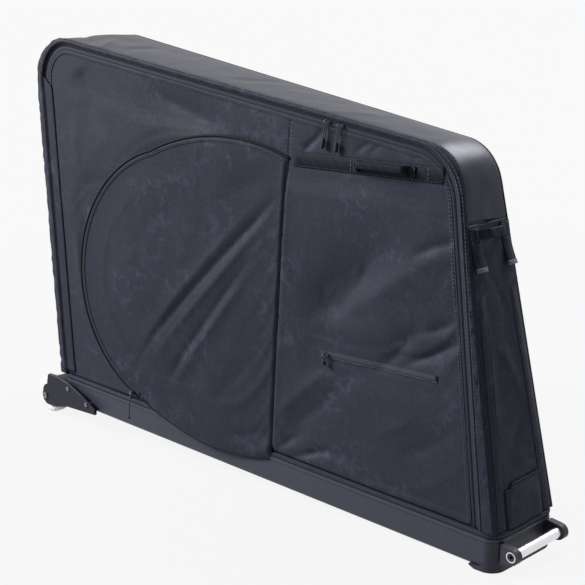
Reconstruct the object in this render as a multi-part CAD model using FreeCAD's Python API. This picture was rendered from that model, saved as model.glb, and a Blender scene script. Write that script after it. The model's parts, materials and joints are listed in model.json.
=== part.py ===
import FreeCAD, Part
import math
import os

V = FreeCAD.Vector

# Soft-sided bike travel case on a moulded tray, sizes in millimetres.
# +X is the end with the pull tube, -Y the side that opens, +Z up.
# Everything is drawn level with the tray and set down on rollers and bumper at the end.

# Case outline, seen from the side
X_FRONT = 650.0
X_REAR = -580.0
Z_RIM = 61.0
FRONT_SLOPE = -0.221
REAR_SLOPE = -0.155
TOP_SLOPE = 0.108
TOP_AT_FRONT = 730.0
TOP_CORNER_R = 85.0

# Case outline, seen from above and from the end
HALF_FRONT = 87.0
PLAN_TAPER = 0.055
SIDE_LEAN = 0.066

# Tray and rim
TRAY_WALL = 4.0
TRAY_FLOOR = 4.0
TRAY_CORNER_R = 26.0
TRAY_EDGE_R = 9.0
LIP = 3.0
LIP_DROP = 6.0
BINDING_H = 11.0
BOARD_T = 4.0

# Cloth walls
STRIP_T = 6.0
SIDE_T = 8.0
BORDER_FOOT = 36.0
BORDER_TOP = 8.0
BORDER_REAR = 26.0
ZIP_SLOPE = -0.182
ZIP_CORNER_R = 105.0
ZIP_W = 7.0
ZIP_RISE = 1.0
FIT = 0.4
SKIN_T = 3.0
WEB_T = 2.0
Z_FRONT_SEAM = TOP_AT_FRONT - 118.0
Z_REAR_SEAM = TOP_AT_FRONT + 30.0
ZIP_FOOT = 40.0

# Rollers and their housings
ROLLER_R = 45.0
ROLLER_W = 34.0
HUB_R = 26.0
AXLE_R = 4.0
RUN_FIT = 0.05
AXLE_OUT = 63.0
AXLE_X = X_REAR - AXLE_OUT
AXLE_Z = -3.0
CHEEK_T = 6.0
HOUSING_OUT = 11.35
CHEEK_BEVEL = 1.5
NOSE_R = 23.0
ROLLER_GAP = 3.0
INNER_CHEEK = 11.0
SCREW_R = 2.5
SCREW_HEAD_R = 5.0

# Front bumper and pull tube
SLED_L = 52.0
SLED_H = 3.0
SLED_FOOT = 34.0
BUMPER_WRAP = 20.0
BUMPER_T = 4.0
BUMPER_TOP = Z_RIM - LIP_DROP - 0.3
FOOT_X = X_FRONT - 20.0
FOOT_Z = -4.0
TUBE_R = 10.0
TUBE_WALL = 2.0
TUBE_OUT = 27.0
TUBE_X = X_FRONT + TUBE_OUT
TUBE_Z = 38.0
LUG_R = 15.0
LUG_OUT = 78.0
LUG_W = 14.0

# Wheel pocket, on the opening side
SEAM_X = 110.0
SEAM_TOP = 668.0
SEAM_FOOT = 52.0
POCKET_X = -168.0
POCKET_Z = 367.0
POCKET_R = 287.0
POCKET_BROW = (-60.0, 692.0)
POCKET_SAG = (-70.0, 34.0)
MOUTH_TOP = 107.0
MOUTH_FOOT = 250.0
POCKET_SPLAY = 5.0
PIPING_R = 2.5
GUARD_R = 70.0
GUARD_T = 2.5
GUARD_HOLE_R = 16.0
SLIDER_ANGLE = 246.0

# Straps, handles and small zips
WEB_W = 30.0
STRAP_START = (122.0, TOP_AT_FRONT - 59.0)
STRAP_END = (470.0, TOP_AT_FRONT - 45.0)
HANDLE_AT = 222.0
HANDLE_L = 142.0
HANDLE_OUT = 24.0
SMALL_ZIP_START = (221.0, 306.0)
SMALL_ZIP_END = (498.0, 322.0)
SLIDER_A_X = 205.0
SLIDER_B_X = 238.0
CORD_R = 1.4
PULL_CORD_R = 1.2
FRONT_HANDLE_Z = TOP_AT_FRONT - 130.0
FRONT_STRAP_W = 22.0
FRONT_STRAP_L = 77.0
FRONT_STRAP_T = 3.0
FRONT_HANDLE_OUT = 22.0
FRONT_POCKET_Z = 150.0
EDGE_BAND_TOP = TOP_AT_FRONT - 230.0
STAY_R = 9.0
STAY_WALL = 2.0
FRONT_STAY_TOP = TOP_AT_FRONT - 140.0
REAR_STAY_TOP = TOP_AT_FRONT + 10.0
FRONT_STAY_IN = 16.0
REAR_STAY_IN = 12.0
CRADLE_L = 420.0
CRADLE_W = 84.0
CRADLE_H = 64.0

Z_CLOTH = Z_RIM + BINDING_H
Z_SIDE = Z_CLOTH + SIDE_T * SIDE_LEAN + 0.05


def half_width(x):
    return HALF_FRONT + PLAN_TAPER * (X_FRONT - x)


def near_point(x, z):
    return V(x, -(half_width(x) - SIDE_LEAN * (z - Z_RIM)), z)


def matrix(x_dir, y_dir, z_dir, origin):
    return FreeCAD.Matrix(
        x_dir.x, y_dir.x, z_dir.x, origin.x,
        x_dir.y, y_dir.y, z_dir.y, origin.y,
        x_dir.z, y_dir.z, z_dir.z, origin.z,
        0, 0, 0, 1)


# Frame of the opening side: first axis along the rim, second up the cloth, third outward
SIDE_O = near_point(0, Z_RIM)
SIDE_U = V(1, PLAN_TAPER, 0).normalize()
SIDE_N = V(PLAN_TAPER, -1, SIDE_LEAN).normalize()
SIDE_V = SIDE_N.cross(SIDE_U)
SIDE = matrix(SIDE_U, SIDE_V, SIDE_N, SIDE_O)
# Upright plane along the case, third axis towards -Y
UPRIGHT = matrix(V(1, 0, 0), V(0, 0, 1), V(0, -1, 0), V(0, 0, 0))
# Plane of the front wall: first axis along +Y, second up the wall, third outward
FRONT_V = V(FRONT_SLOPE, 0, 1).normalize()
FRONT_N = V(0, 1, 0).cross(FRONT_V)
FRONT = matrix(V(0, 1, 0), FRONT_V, FRONT_N, V(X_FRONT, 0, Z_RIM))
LEVEL = FreeCAD.Matrix()


def on_side(x, z):
    """Side-frame coordinates of the point of the opening side at x and z."""
    p = near_point(x, z) - SIDE_O
    return (p.dot(SIDE_U), p.dot(SIDE_V))


def on_front(z):
    """Height up the front wall of the level z."""
    return (z - Z_RIM) / FRONT_V.z


def outline(points, radii, closed=True):
    """Wire through the points with each corner rounded by its radius."""
    count = len(points)
    pts = [V(p[0], p[1], 0) for p in points]
    corners = []
    for i in range(count):
        p = pts[i]
        r = radii[i]
        if r <= 0 or (not closed and i in (0, count - 1)):
            corners.append((p, None, p))
            continue
        a = (pts[i - 1] - p).normalize()
        b = (pts[(i + 1) % count] - p).normalize()
        half = a.getAngle(b) / 2
        bisector = (a + b).normalize()
        centre = p + bisector * (r / math.sin(half))
        back = r / math.tan(half)
        corners.append((p + a * back, centre - bisector * r, p + b * back))
    edges = []
    for i in range(count):
        start, mid, end = corners[i]
        if mid is not None:
            edges.append(Part.Arc(start, mid, end).toShape())
        if closed or i < count - 1:
            following = corners[(i + 1) % count][0]
            if end.distanceToPoint(following) > 1e-6:
                edges.append(Part.makeLine(end, following))
    return Part.Wire(edges)


def slab(wire, low, high, frame=LEVEL):
    """Plate of the wire's outline between two heights of a frame."""
    face = Part.Face(wire).translated(V(0, 0, low))
    return face.extrude(V(0, 0, high - low)).transformed(frame)


def plate(points, radii, low, high, frame=LEVEL):
    if not isinstance(radii, (list, tuple)):
        radii = [radii] * len(points)
    return slab(outline(points, radii), low, high, frame)


def box(x0, x1, y0, y1, z0, z1, frame=LEVEL):
    return Part.makeBox(x1 - x0, y1 - y0, z1 - z0, V(x0, y0, z0)).transformed(frame)


def rod(radius, start, end, frame=LEVEL):
    axis = end - start
    return Part.makeCylinder(radius, axis.Length, start, axis).transformed(frame)


CORD_SIDES = 8


def faceted_ring(radius, centre, first, second):
    """Section of a cord or piping: an even polygon in the plane of two unit directions."""
    turns = [2 * math.pi * i / CORD_SIDES for i in range(CORD_SIDES + 1)]
    spokes = [first * math.cos(t) + second * math.sin(t) for t in turns]
    return Part.makePolygon([centre + spoke * radius for spoke in spokes])


def tube_along(points, bend, radius):
    """Cord of straight runs and tangent bends in the frame's first plane."""
    path = outline(points, [bend] * len(points), False)
    first = V(points[0][0], points[0][1], 0)
    heading = (V(points[1][0], points[1][1], 0) - first).normalize()
    up = V(0, 0, 1)
    return path.makePipeShell([faceted_ring(radius, first, heading.cross(up), up)], True, True)


def mirrored(shape):
    return shape.mirror(V(0, 0, 0), V(0, 1, 0))


def fused(first, *others):
    return first.fuse(list(others)).removeSplitter()


parts = {}


def pair(name, shape):
    """One piece on the opening side and its twin on the far side."""
    parts[name + "_near"] = shape
    parts[name + "_far"] = mirrored(shape)


# Tray: a tapered tub with rounded corners, rounded under-edge and a turned-out lip
def tray_plan(grow):
    rear = X_REAR - grow
    front = X_FRONT + grow
    a = half_width(rear) + grow
    b = half_width(front) + grow
    return outline([(rear, -a), (front, -b), (front, b), (rear, a)], [TRAY_CORNER_R + grow] * 4)


tub = slab(tray_plan(0), 0, Z_RIM)
under_edges = [e for e in tub.Edges if e.BoundBox.ZMax < 0.01]
tub = tub.makeFillet(TRAY_EDGE_R, under_edges)
lip = slab(tray_plan(LIP), Z_RIM - LIP_DROP, Z_RIM)
tray_outer = fused(tub, lip)
tray = tray_outer.cut(slab(tray_plan(-TRAY_WALL), TRAY_FLOOR, Z_RIM + 1))

parts["base_board"] = slab(tray_plan(-TRAY_WALL - FIT), TRAY_FLOOR, TRAY_FLOOR + BOARD_T)
BOARD_TOP = TRAY_FLOOR + BOARD_T
binding = slab(tray_plan(LIP), Z_RIM, Z_CLOTH)
parts["rim_binding"] = binding.cut(slab(tray_plan(-TRAY_WALL), Z_RIM - 1, Z_CLOTH + 1))


# Cloth walls: one band over front, top and rear, and a panel on each side
X_TOP_FRONT = X_FRONT + FRONT_SLOPE * (TOP_AT_FRONT - Z_RIM)


def four_corners(front, front_slope, rear, top_drop, inset, low):
    """Corners of an outline inside the case, its ends given at the rim, its top below the case top."""
    front = front - inset * math.hypot(1, front_slope)
    rear = rear + inset * math.hypot(1, REAR_SLOPE)
    top = TOP_AT_FRONT - (top_drop + inset) * math.hypot(1, TOP_SLOPE)

    def under_top(x_at_rim, slope):
        z = (top + TOP_SLOPE * (X_TOP_FRONT - x_at_rim + slope * Z_RIM)) / (1 + TOP_SLOPE * slope)
        return (x_at_rim + slope * (z - Z_RIM), z)

    return [(rear + REAR_SLOPE * (low - Z_RIM), low), (front + front_slope * (low - Z_RIM), low),
            under_top(front, front_slope), under_top(rear, REAR_SLOPE)]


def case_corners(inset, low=Z_CLOTH):
    return four_corners(X_FRONT, FRONT_SLOPE, X_REAR, 0, inset, low)


def case_radii(inset):
    r = TOP_CORNER_R - inset
    return [0, 0, r, r]


def zip_corners(inset, low=Z_SIDE):
    corners = four_corners(X_FRONT - BORDER_FOOT, ZIP_SLOPE, X_REAR + BORDER_REAR, BORDER_TOP, inset, low)
    return [on_side(x, z) for x, z in corners]


def zip_radii(inset):
    return [0, 0, ZIP_CORNER_R - inset, TOP_CORNER_R - BORDER_TOP - inset]


FAR_AWAY = 2000.0
beyond_near = box(-FAR_AWAY, FAR_AWAY, -FAR_AWAY, FAR_AWAY, -SIDE_T, FAR_AWAY, SIDE)
beyond_far = mirrored(beyond_near)
band = plate(case_corners(0), case_radii(0), -400, 400, UPRIGHT)
band = band.cut(plate(case_corners(STRIP_T, Z_CLOTH - 5), case_radii(STRIP_T), -401, 401, UPRIGHT))
band = band.cut(beyond_near).cut(beyond_far)
front_zone = box(0, 900, -400, 400, 0, Z_FRONT_SEAM)
rear_zone = box(-900, 0, -400, 400, 0, Z_REAR_SEAM)
parts["front_wall"] = band.common(front_zone)
parts["rear_wall"] = band.common(rear_zone)
parts["top_wall"] = band.cut(front_zone).cut(rear_zone)

side_blank = plate([on_side(x, z) for x, z in case_corners(0, Z_SIDE)], case_radii(0), -SIDE_T, 0, SIDE)
parts["far_side"] = mirrored(side_blank)
hole = plate(zip_corners(0, Z_CLOTH - 5), zip_radii(0), -SIDE_T - 1, 1, SIDE)
parts["zip_border"] = side_blank.cut(hole)
ZIP_MID = ZIP_W / 2


def zip_tape(outer, inner):
    """Half of the zip along the border, from one inset to the next."""
    blank = plate(zip_corners(outer), zip_radii(outer), -5, -ZIP_RISE, SIDE)
    return blank.cut(plate(zip_corners(inner, Z_CLOTH - 5), zip_radii(inner), -6, 1, SIDE))


parts["zip_tape_case"] = zip_tape(0, ZIP_MID - 0.1)
panel_tape = zip_tape(ZIP_MID + 0.1, ZIP_W)
PANEL_LOW = Z_SIDE + 0.5
panel_low_v = on_side(0, PANEL_LOW)[1]
above_foot = box(-FAR_AWAY, FAR_AWAY, panel_low_v + ZIP_FOOT, FAR_AWAY, -9, 9, SIDE)
parts["zip_tape_panel"] = panel_tape.common(above_foot)
parts["side_panel"] = plate(zip_corners(ZIP_W, PANEL_LOW), zip_radii(ZIP_W), -SIDE_T, 0, SIDE)

# Wheel pocket: cloth sewn along an upright seam and standing away at its round mouth
seam_u, pocket_low = on_side(SEAM_X, PANEL_LOW + 0.4)
splay = math.radians(POCKET_SPLAY)
POCKET_X_DIR = SIDE_U * math.cos(splay) - SIDE_N * math.sin(splay)
POCKET_N = SIDE_N * math.cos(splay) + SIDE_U * math.sin(splay)
POCKET_O = SIDE_O + SIDE_U * seam_u + SIDE_N * 0.2
POCKET = matrix(POCKET_X_DIR, SIDE_V, POCKET_N, POCKET_O)


def on_pocket(x, z):
    u, v = on_side(x, z)
    return V((u - seam_u) / math.cos(splay), v, 0)


mouth_centre = on_pocket(POCKET_X, POCKET_Z)


def mouth_point(degrees, radius, up=0.0):
    a = math.radians(degrees)
    return mouth_centre + V(radius * math.cos(a), radius * math.sin(a), up)


def pocket_plan(shrink):
    """Outline in the pocket's frame: brow, round mouth, sagging foot, straight seam."""
    r = POCKET_R - shrink
    seam_high = on_pocket(SEAM_X, SEAM_TOP - shrink)
    seam_low = on_pocket(SEAM_X, SEAM_FOOT + shrink)
    brow = on_pocket(POCKET_BROW[0], POCKET_BROW[1] - shrink)
    sag = on_pocket(POCKET_SAG[0], POCKET_SAG[1] + shrink)
    high = mouth_point(MOUTH_TOP, r)
    foot = mouth_point(MOUTH_FOOT, r)
    return Part.Wire([Part.Arc(seam_high, brow, high).toShape(),
                      Part.Arc(high, mouth_point((MOUTH_TOP + MOUTH_FOOT) / 2, r), foot).toShape(),
                      Part.Arc(foot, sag, seam_low).toShape(), Part.makeLine(seam_low, seam_high)])


above_hinge = box(-FAR_AWAY, FAR_AWAY, pocket_low, FAR_AWAY, -50, 200, SIDE)
pocket_sheet = slab(pocket_plan(0), 0, SKIN_T, POCKET)
parts["wheel_pocket"] = pocket_sheet.common(above_hinge)

lobe_block = slab(pocket_plan(0), -90, SKIN_T, POCKET).cut(slab(pocket_plan(SKIN_T), -91, 0, POCKET))
below_hinge = box(-FAR_AWAY, FAR_AWAY, -300, pocket_low - 0.4, LIP + 1.2, 200, SIDE)
parts["pocket_lobe"] = lobe_block.common(below_hinge)

# Piping with the zip along the round of the pocket's mouth
PIPING_AT = POCKET_R + PIPING_R + 0.1
PIPING_UP = SKIN_T / 2
spoke = mouth_point(MOUTH_TOP, 1) - mouth_centre
ring = faceted_ring(PIPING_R, mouth_point(MOUTH_TOP, PIPING_AT, PIPING_UP), spoke, V(0, 0, 1))
piping = Part.Face(ring).revolve(mouth_centre, V(0, 0, 1), MOUTH_FOOT - MOUTH_TOP)
parts["pocket_piping"] = piping.transformed(POCKET)

# Zip sliders: a tapered base, a bar on two posts, and a cord looped round the bar with a moulded tip
SLIDER_L = 13.0
SLIDER_W = 6.4
BASE_T = 2.4
BAR_T = 1.6
BAR_UP = 6.4
LOOP_R = 2.5


def zip_slider(length, width):
    h = width / 2
    base = plate([(-length / 2, -h * 0.7), (length / 2, -h), (length / 2, h), (-length / 2, h * 0.7)],
                 1.2, 0, BASE_T)
    bar = box(-length * 0.4, length * 0.4, -BAR_T / 2, BAR_T / 2, BAR_UP - BAR_T / 2, BAR_UP + BAR_T / 2)
    posts = [box(s - 1, s + 1, -BAR_T / 2, BAR_T / 2, BASE_T - 0.5, BAR_UP) for s in
             (-length * 0.4 + 1, length * 0.4 - 1)]
    return fused(base, bar, *posts)


def pull_cord(drop):
    """Cord loop round the bar, hanging down; drawn across the bar and turned into place."""
    down = V(0, -drop, BAR_UP - LOOP_R)
    back = V(0, 0, BAR_UP - LOOP_R)
    front = V(0, 0, BAR_UP + LOOP_R)
    end = V(0, -drop, BAR_UP + LOOP_R)
    turn = Part.Arc(back, V(0, LOOP_R, BAR_UP), front).toShape()
    path = Part.Wire([Part.makeLine(down, back), turn, Part.makeLine(front, end)])
    section = faceted_ring(PULL_CORD_R, down, V(1, 0, 0), V(0, 0, 1))
    return path.makePipeShell([section], True, True)


TIP_L = 20.0
TIP_W = 8.0


def pull_tip(drop):
    h = TIP_W / 2
    body = plate([(-h * 0.7, -drop - TIP_L), (h * 0.7, -drop - TIP_L), (h, -drop), (-h, -drop)], 2,
                 BAR_UP - LOOP_R - 1.8, BAR_UP + LOOP_R + 1.8)
    return body


def frame_at(u, v, w, angle=0.0):
    """Frame on the opening side at side coordinates, turned in the plane of the cloth."""
    c = math.cos(angle)
    s = math.sin(angle)
    along = SIDE_U * c + SIDE_V * s
    across = SIDE_V * c - SIDE_U * s
    return matrix(along, across, SIDE_N, SIDE_O + SIDE_U * u + SIDE_V * v + SIDE_N * w)


PULL_DROP = 34.0
zip_line = zip_corners(ZIP_MID)
zip_a = V(zip_line[3][0], zip_line[3][1], 0)
zip_b = V(zip_line[2][0], zip_line[2][1], 0)
ZIP_ANGLE = math.atan2(zip_b.y - zip_a.y, zip_b.x - zip_a.x)


def on_top_zip(x):
    u = on_side(x, 0)[0]
    return (u, zip_a.y + (zip_b.y - zip_a.y) * (u - zip_a.x) / (zip_b.x - zip_a.x))


SEAT = 0.3
for tag, at_x, turn in (("a", SLIDER_A_X, math.pi), ("b", SLIDER_B_X, 0.0)):
    u, v = on_top_zip(at_x)
    riding = frame_at(u, v, SEAT, ZIP_ANGLE)
    block = zip_slider(SLIDER_L, SLIDER_W)
    if turn:
        block = block.rotated(V(0, 0, 0), V(0, 0, 1), 180)
    neck = box(-3, 3, -2.4, 2.4, -SEAT - ZIP_RISE + 0.2, 0.5)
    parts["zip_slider_" + tag] = fused(block, neck).transformed(riding)
    parts["zip_cord_" + tag] = pull_cord(PULL_DROP).transformed(riding)
    parts["zip_tip_" + tag] = pull_tip(PULL_DROP).transformed(riding)


def frame_between(start, end):
    """Frame on the opening side, first axis from one point of the cloth to another, and their distance."""
    a = V(*on_side(*start), 0)
    b = V(*on_side(*end), 0)
    return frame_at(a.x, a.y, 0, math.atan2(b.y - a.y, b.x - a.x)), a.distanceToPoint(b)


# Small pocket zip on the panel
SMALL_ZIP_W = 12.0
SMALL_ZIP_T = 1.2
SMALL_SLIDER_AT = 14.0
SMALL_DROP = 14.0
SMALL, small_length = frame_between(SMALL_ZIP_START, SMALL_ZIP_END)
h = SMALL_ZIP_W / 2
parts["small_zip"] = plate([(0, -h), (small_length, -h), (small_length, h), (0, h)], 2, 0, SMALL_ZIP_T, SMALL)
small_seat = V(SMALL_SLIDER_AT, 0, SMALL_ZIP_T + SEAT)
parts["small_slider"] = zip_slider(SLIDER_L, SLIDER_W).translated(small_seat).transformed(SMALL)
parts["small_cord"] = pull_cord(SMALL_DROP).translated(small_seat).transformed(SMALL)

# Slider of the wheel pocket: a base on the piping with a headed stud, and a cord on a ring round the stud
stud_at = mouth_point(SLIDER_ANGLE, PIPING_AT)
STUD = POCKET_O + POCKET_X_DIR * stud_at.x + SIDE_V * stud_at.y + POCKET_N * (SKIN_T / 2 + PIPING_R + SEAT)
ON_MOUTH = matrix(POCKET_X_DIR, SIDE_V, POCKET_N, STUD)
STUD_R = 1.8
base = plate([(-6, -4), (6, -4), (6, 4), (-6, 4)], 2, 0, BASE_T)
stud = Part.makeCylinder(STUD_R, 3.6, V(0, 0, BASE_T))
stud_head = Part.makeCylinder(3.2, 1.2, V(0, 0, BASE_T + 3.6))
turn_to = SLIDER_ANGLE - 90
base = base.rotated(V(0, 0, 0), V(0, 0, 1), turn_to)
parts["pocket_slider"] = fused(base, stud, stud_head).transformed(ON_MOUTH)
RING_R = STUD_R + 0.15 + CORD_R
RING_UP = BASE_T + 1.8
CORD_DROP = 56.0
cord_ring = Part.makeCylinder(RING_R + CORD_R, 2 * CORD_R, V(0, 0, RING_UP - CORD_R))
cord_ring = cord_ring.cut(Part.makeCylinder(RING_R - CORD_R, 4 * CORD_R, V(0, 0, RING_UP - 2 * CORD_R)))
hang = [(0, -RING_R), (0, -RING_R - 12), (-5, -RING_R - 24), (-5, -RING_R - CORD_DROP)]
cord_run = tube_along(hang, 8, CORD_R).translated(V(0, 0, RING_UP))
parts["pocket_cord"] = fused(cord_ring, cord_run).transformed(ON_MOUTH)

# Things inside the wheel pocket: a disc that guards the hub and a strap that holds the wheel
gu, gv = on_side(POCKET_X, POCKET_Z)
guard = Part.makeCylinder(GUARD_R, GUARD_T).cut(Part.makeCylinder(GUARD_HOLE_R, GUARD_T + 2, V(0, 0, -1)))
parts["hub_guard"] = guard.transformed(frame_at(gu, gv, 0))
wu, wv = on_side(-470, 470)
wheel_strap = [(wu - 34, wv - 10), (wu + 60, wv - 10), (wu + 60, wv + 10), (wu - 34, wv + 10)]
parts["wheel_strap"] = plate(wheel_strap, 2, 0, WEB_T, SIDE)
buckle = plate([(wu - 22, wv - 16), (wu + 22, wv - 16), (wu + 22, wv + 16), (wu - 22, wv + 16)], 5,
               WEB_T, WEB_T + 7, SIDE)
parts["wheel_buckle"] = buckle.cut(box(wu - 6, wu + 6, wv - 11, wv + 11, WEB_T + 3, WEB_T + 8, SIDE))

# Carry strap with its handle on the panel
STRAP, strap_length = frame_between(STRAP_START, STRAP_END)
h = WEB_W / 2
parts["side_strap"] = plate([(0, -h), (strap_length, -h), (strap_length, h), (0, h)], 1, 0, WEB_T, STRAP)


def bow(length, out, thick, foot):
    """Bowed grip seen edge on: two sewn feet and an arched middle."""
    a = length / 2
    lower = [(-a, 0), (-a + foot, 0), (-a + foot + out, out), (a - foot - out, out), (a - foot, 0), (a, 0)]
    upper = [(a, thick), (a - foot + thick * 0.5, thick), (a - foot - out + thick * 0.5, out + thick),
             (-a + foot + out - thick * 0.5, out + thick), (-a + foot - thick * 0.5, thick), (-a, thick)]
    return outline(lower + upper, [0, 6, 8, 8, 6, 0, 0, 8, 8 + thick, 8 + thick, 8, 0])


GRIP_W = 26.0
GRIP_T = 5.0
EDGE_ON = matrix(V(1, 0, 0), V(0, 0, 1), V(0, -1, 0), V(HANDLE_AT, 0, WEB_T + 0.2))
grip = slab(bow(HANDLE_L, HANDLE_OUT - GRIP_T, GRIP_T, 12), -GRIP_W / 2, GRIP_W / 2, EDGE_ON)
parts["side_handle"] = grip.transformed(STRAP)

# Front wall: edge bands over the stays, low pocket, handle straps with hanging tails, bowed handle
BAND_W = 20.0


def front_half(z):
    x = X_FRONT + FRONT_SLOPE * (z - Z_RIM)
    return half_width(x) - SIDE_LEAN * (z - Z_RIM) - SIDE_T


band_low = on_front(Z_CLOTH + 0.5)
band_high = on_front(EDGE_BAND_TOP)
low_half = front_half(Z_CLOTH)
high_half = front_half(EDGE_BAND_TOP)
pair("edge_band", plate([(-low_half, band_low), (-low_half + BAND_W, band_low),
                         (-high_half + BAND_W, band_high), (-high_half, band_high)], 1, 0, WEB_T, FRONT))
pocket_half = front_half(FRONT_POCKET_Z) - BAND_W - 2
flap = on_front(FRONT_POCKET_Z)
parts["front_pocket"] = plate([(-pocket_half, band_low), (pocket_half, band_low), (pocket_half, flap),
                               (-pocket_half + 22, flap), (-pocket_half + 14, flap - 10),
                               (-pocket_half, flap - 10)], [1, 1, 2, 3, 3, 2], 0, 5, FRONT)
grip_v = on_front(FRONT_HANDLE_Z)
strap_out = front_half(FRONT_HANDLE_Z) + 4
strap_in = strap_out - FRONT_STRAP_W
tail_low = grip_v - FRONT_STRAP_L
front_strap = [(-strap_out, tail_low), (-strap_in, tail_low), (-strap_in, grip_v), (-strap_out, grip_v)]
pair("front_strap", plate(front_strap, 1, 0, FRONT_STRAP_T, FRONT))
FRONT_GRIP_W = 20.0
grip_up = FRONT_V * (grip_v - FRONT_GRIP_W / 2 - 3)
grip_out = FRONT_N * (FRONT_STRAP_T + 0.2)
ACROSS = matrix(V(0, 1, 0), FRONT_N, FRONT_V * -1, V(X_FRONT, 0, Z_RIM) + grip_up + grip_out)
parts["front_handle"] = slab(bow(2 * strap_out - 4, FRONT_HANDLE_OUT - GRIP_T, GRIP_T, 10),
                             -FRONT_GRIP_W / 2, FRONT_GRIP_W / 2, ACROSS)

# Far side: a second wheel pocket, zipped shut
FAR_POCKET_OUT = 34.0
FAR_POCKET_R = 285.0
FAR_POCKET_SLOPE = 46.0


def far_pocket_body(shrink, low, out):
    """Low swelling with sloped sides: round behind, square at the seam."""
    r = FAR_POCKET_R - shrink
    u, v = on_side(POCKET_X, POCKET_Z)

    def straight(inset, w):
        right = seam_u - shrink - inset
        half = r - inset
        return Part.makePolygon([V(u, v - half, w), V(right, v - half, w), V(right, v + half, w),
                                 V(u, v + half, w), V(u, v - half, w)])

    round_end = Part.makeCone(r, r - FAR_POCKET_SLOPE, out - low, V(u, v, low))
    return fused(round_end, Part.makeLoft([straight(0, low), straight(FAR_POCKET_SLOPE, out)], True, True))


far_shell = far_pocket_body(0, 0, FAR_POCKET_OUT)
far_hollow = far_pocket_body(SKIN_T * 2, -SKIN_T, FAR_POCKET_OUT - SKIN_T)
parts["far_pocket"] = mirrored(far_shell.cut(far_hollow).transformed(SIDE))

# Stays: tubes that stand in the corners and hold the cloth up
STAY_CLEAR = STAY_R + 1.5


def stay(rim_x, slope, inward, top):
    def centre(z):
        x = rim_x + slope * (z - Z_RIM) + inward
        p = near_point(x, z)
        return V(p.x, p.y + SIDE_T + STAY_CLEAR, z)

    a = centre(-40)
    b = centre(top)
    tube = rod(STAY_R, a, b).cut(rod(STAY_R - STAY_WALL, a, b))
    return tube.cut(box(-900, 900, -400, 400, -200, BOARD_TOP))


pair("front_stay", stay(X_FRONT, FRONT_SLOPE, -STRIP_T - STAY_CLEAR - FRONT_STAY_IN, FRONT_STAY_TOP))
pair("rear_stay", stay(X_REAR, REAR_SLOPE, STRIP_T + STAY_CLEAR + REAR_STAY_IN, REAR_STAY_TOP))

# Padded block that the bike frame is strapped to
CRADLE_X = -60.0
c = CRADLE_W / 2
block = plate([(-c, BOARD_TOP), (c, BOARD_TOP), (c, BOARD_TOP + CRADLE_H), (24, BOARD_TOP + CRADLE_H),
               (14, BOARD_TOP + CRADLE_H - 22), (-14, BOARD_TOP + CRADLE_H - 22),
               (-24, BOARD_TOP + CRADLE_H), (-c, BOARD_TOP + CRADLE_H)], [4, 4, 10, 4, 8, 8, 4, 10],
              CRADLE_X - CRADLE_L / 2, CRADLE_X + CRADLE_L / 2,
              matrix(V(0, 1, 0), V(0, 0, 1), V(1, 0, 0), V(0, 0, 0)))
parts["frame_cradle"] = block
straps = []
for at in (CRADLE_X + 130, CRADLE_X - 130):
    outer = box(at - 12, at + 12, -c - 2.2, c + 2.2, BOARD_TOP, BOARD_TOP + CRADLE_H + 2.2)
    inner = box(at - 13, at + 13, -c - 0.2, c + 0.2, BOARD_TOP - 1, BOARD_TOP + CRADLE_H + 0.2)
    straps.append(outer.cut(inner))
parts["cradle_straps"] = Part.Compound(straps)

# Roller housings: outer cheek, packing against the tray, inner cheek, slot for the roller
# Their outlines are given from the tray's rear end
CHEEK_Y = half_width(X_REAR) + HOUSING_OUT
AT_REAR = matrix(V(1, 0, 0), V(0, 0, 1), V(0, -1, 0), V(X_REAR, 0, 0))
cheek_line = [(-52, 56), (-12, 58), (32, 53), (86, 37), (139, 14), (139, 2), (24, -9), (-20, -22),
              (-AXLE_OUT, AXLE_Z - NOSE_R), (-AXLE_OUT - NOSE_R - 1, AXLE_Z - 4), (-58, 25)]
cheek_radii = [10, 40, 60, 60, 6, 3, 50, 50, NOSE_R - 3, 18, 14]
cheek = plate(cheek_line, cheek_radii, CHEEK_Y - CHEEK_T, CHEEK_Y, AT_REAR)
rim_edges = [e for e in cheek.Edges if e.BoundBox.YMax < -CHEEK_Y + 0.01]
cheek = cheek.makeChamfer(CHEEK_BEVEL, rim_edges)
packing_line = [(-48, 47), (-12, 50), (28, 45), (82, 30), (128, 12), (128, 6), (24, -4), (-20, -16),
                (-AXLE_OUT, AXLE_Z - NOSE_R + 5), (-AXLE_OUT - NOSE_R + 5, AXLE_Z - 4), (-52, 24)]
INNER_Y = CHEEK_Y - CHEEK_T - 2 * ROLLER_GAP - ROLLER_W - INNER_CHEEK
packing = plate(packing_line, [8, 40, 60, 60, 2, 2, 50, 50, 16, 12, 10], INNER_Y, CHEEK_Y - CHEEK_T, AT_REAR)
ROLLER_MID = CHEEK_Y - CHEEK_T - ROLLER_GAP - ROLLER_W / 2
slot_half = ROLLER_W / 2 + ROLLER_GAP


def across(radius, y0, y1, x=AXLE_X, z=AXLE_Z):
    return Part.makeCylinder(radius, y1 - y0, V(x, y0, z), V(0, 1, 0))


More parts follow.
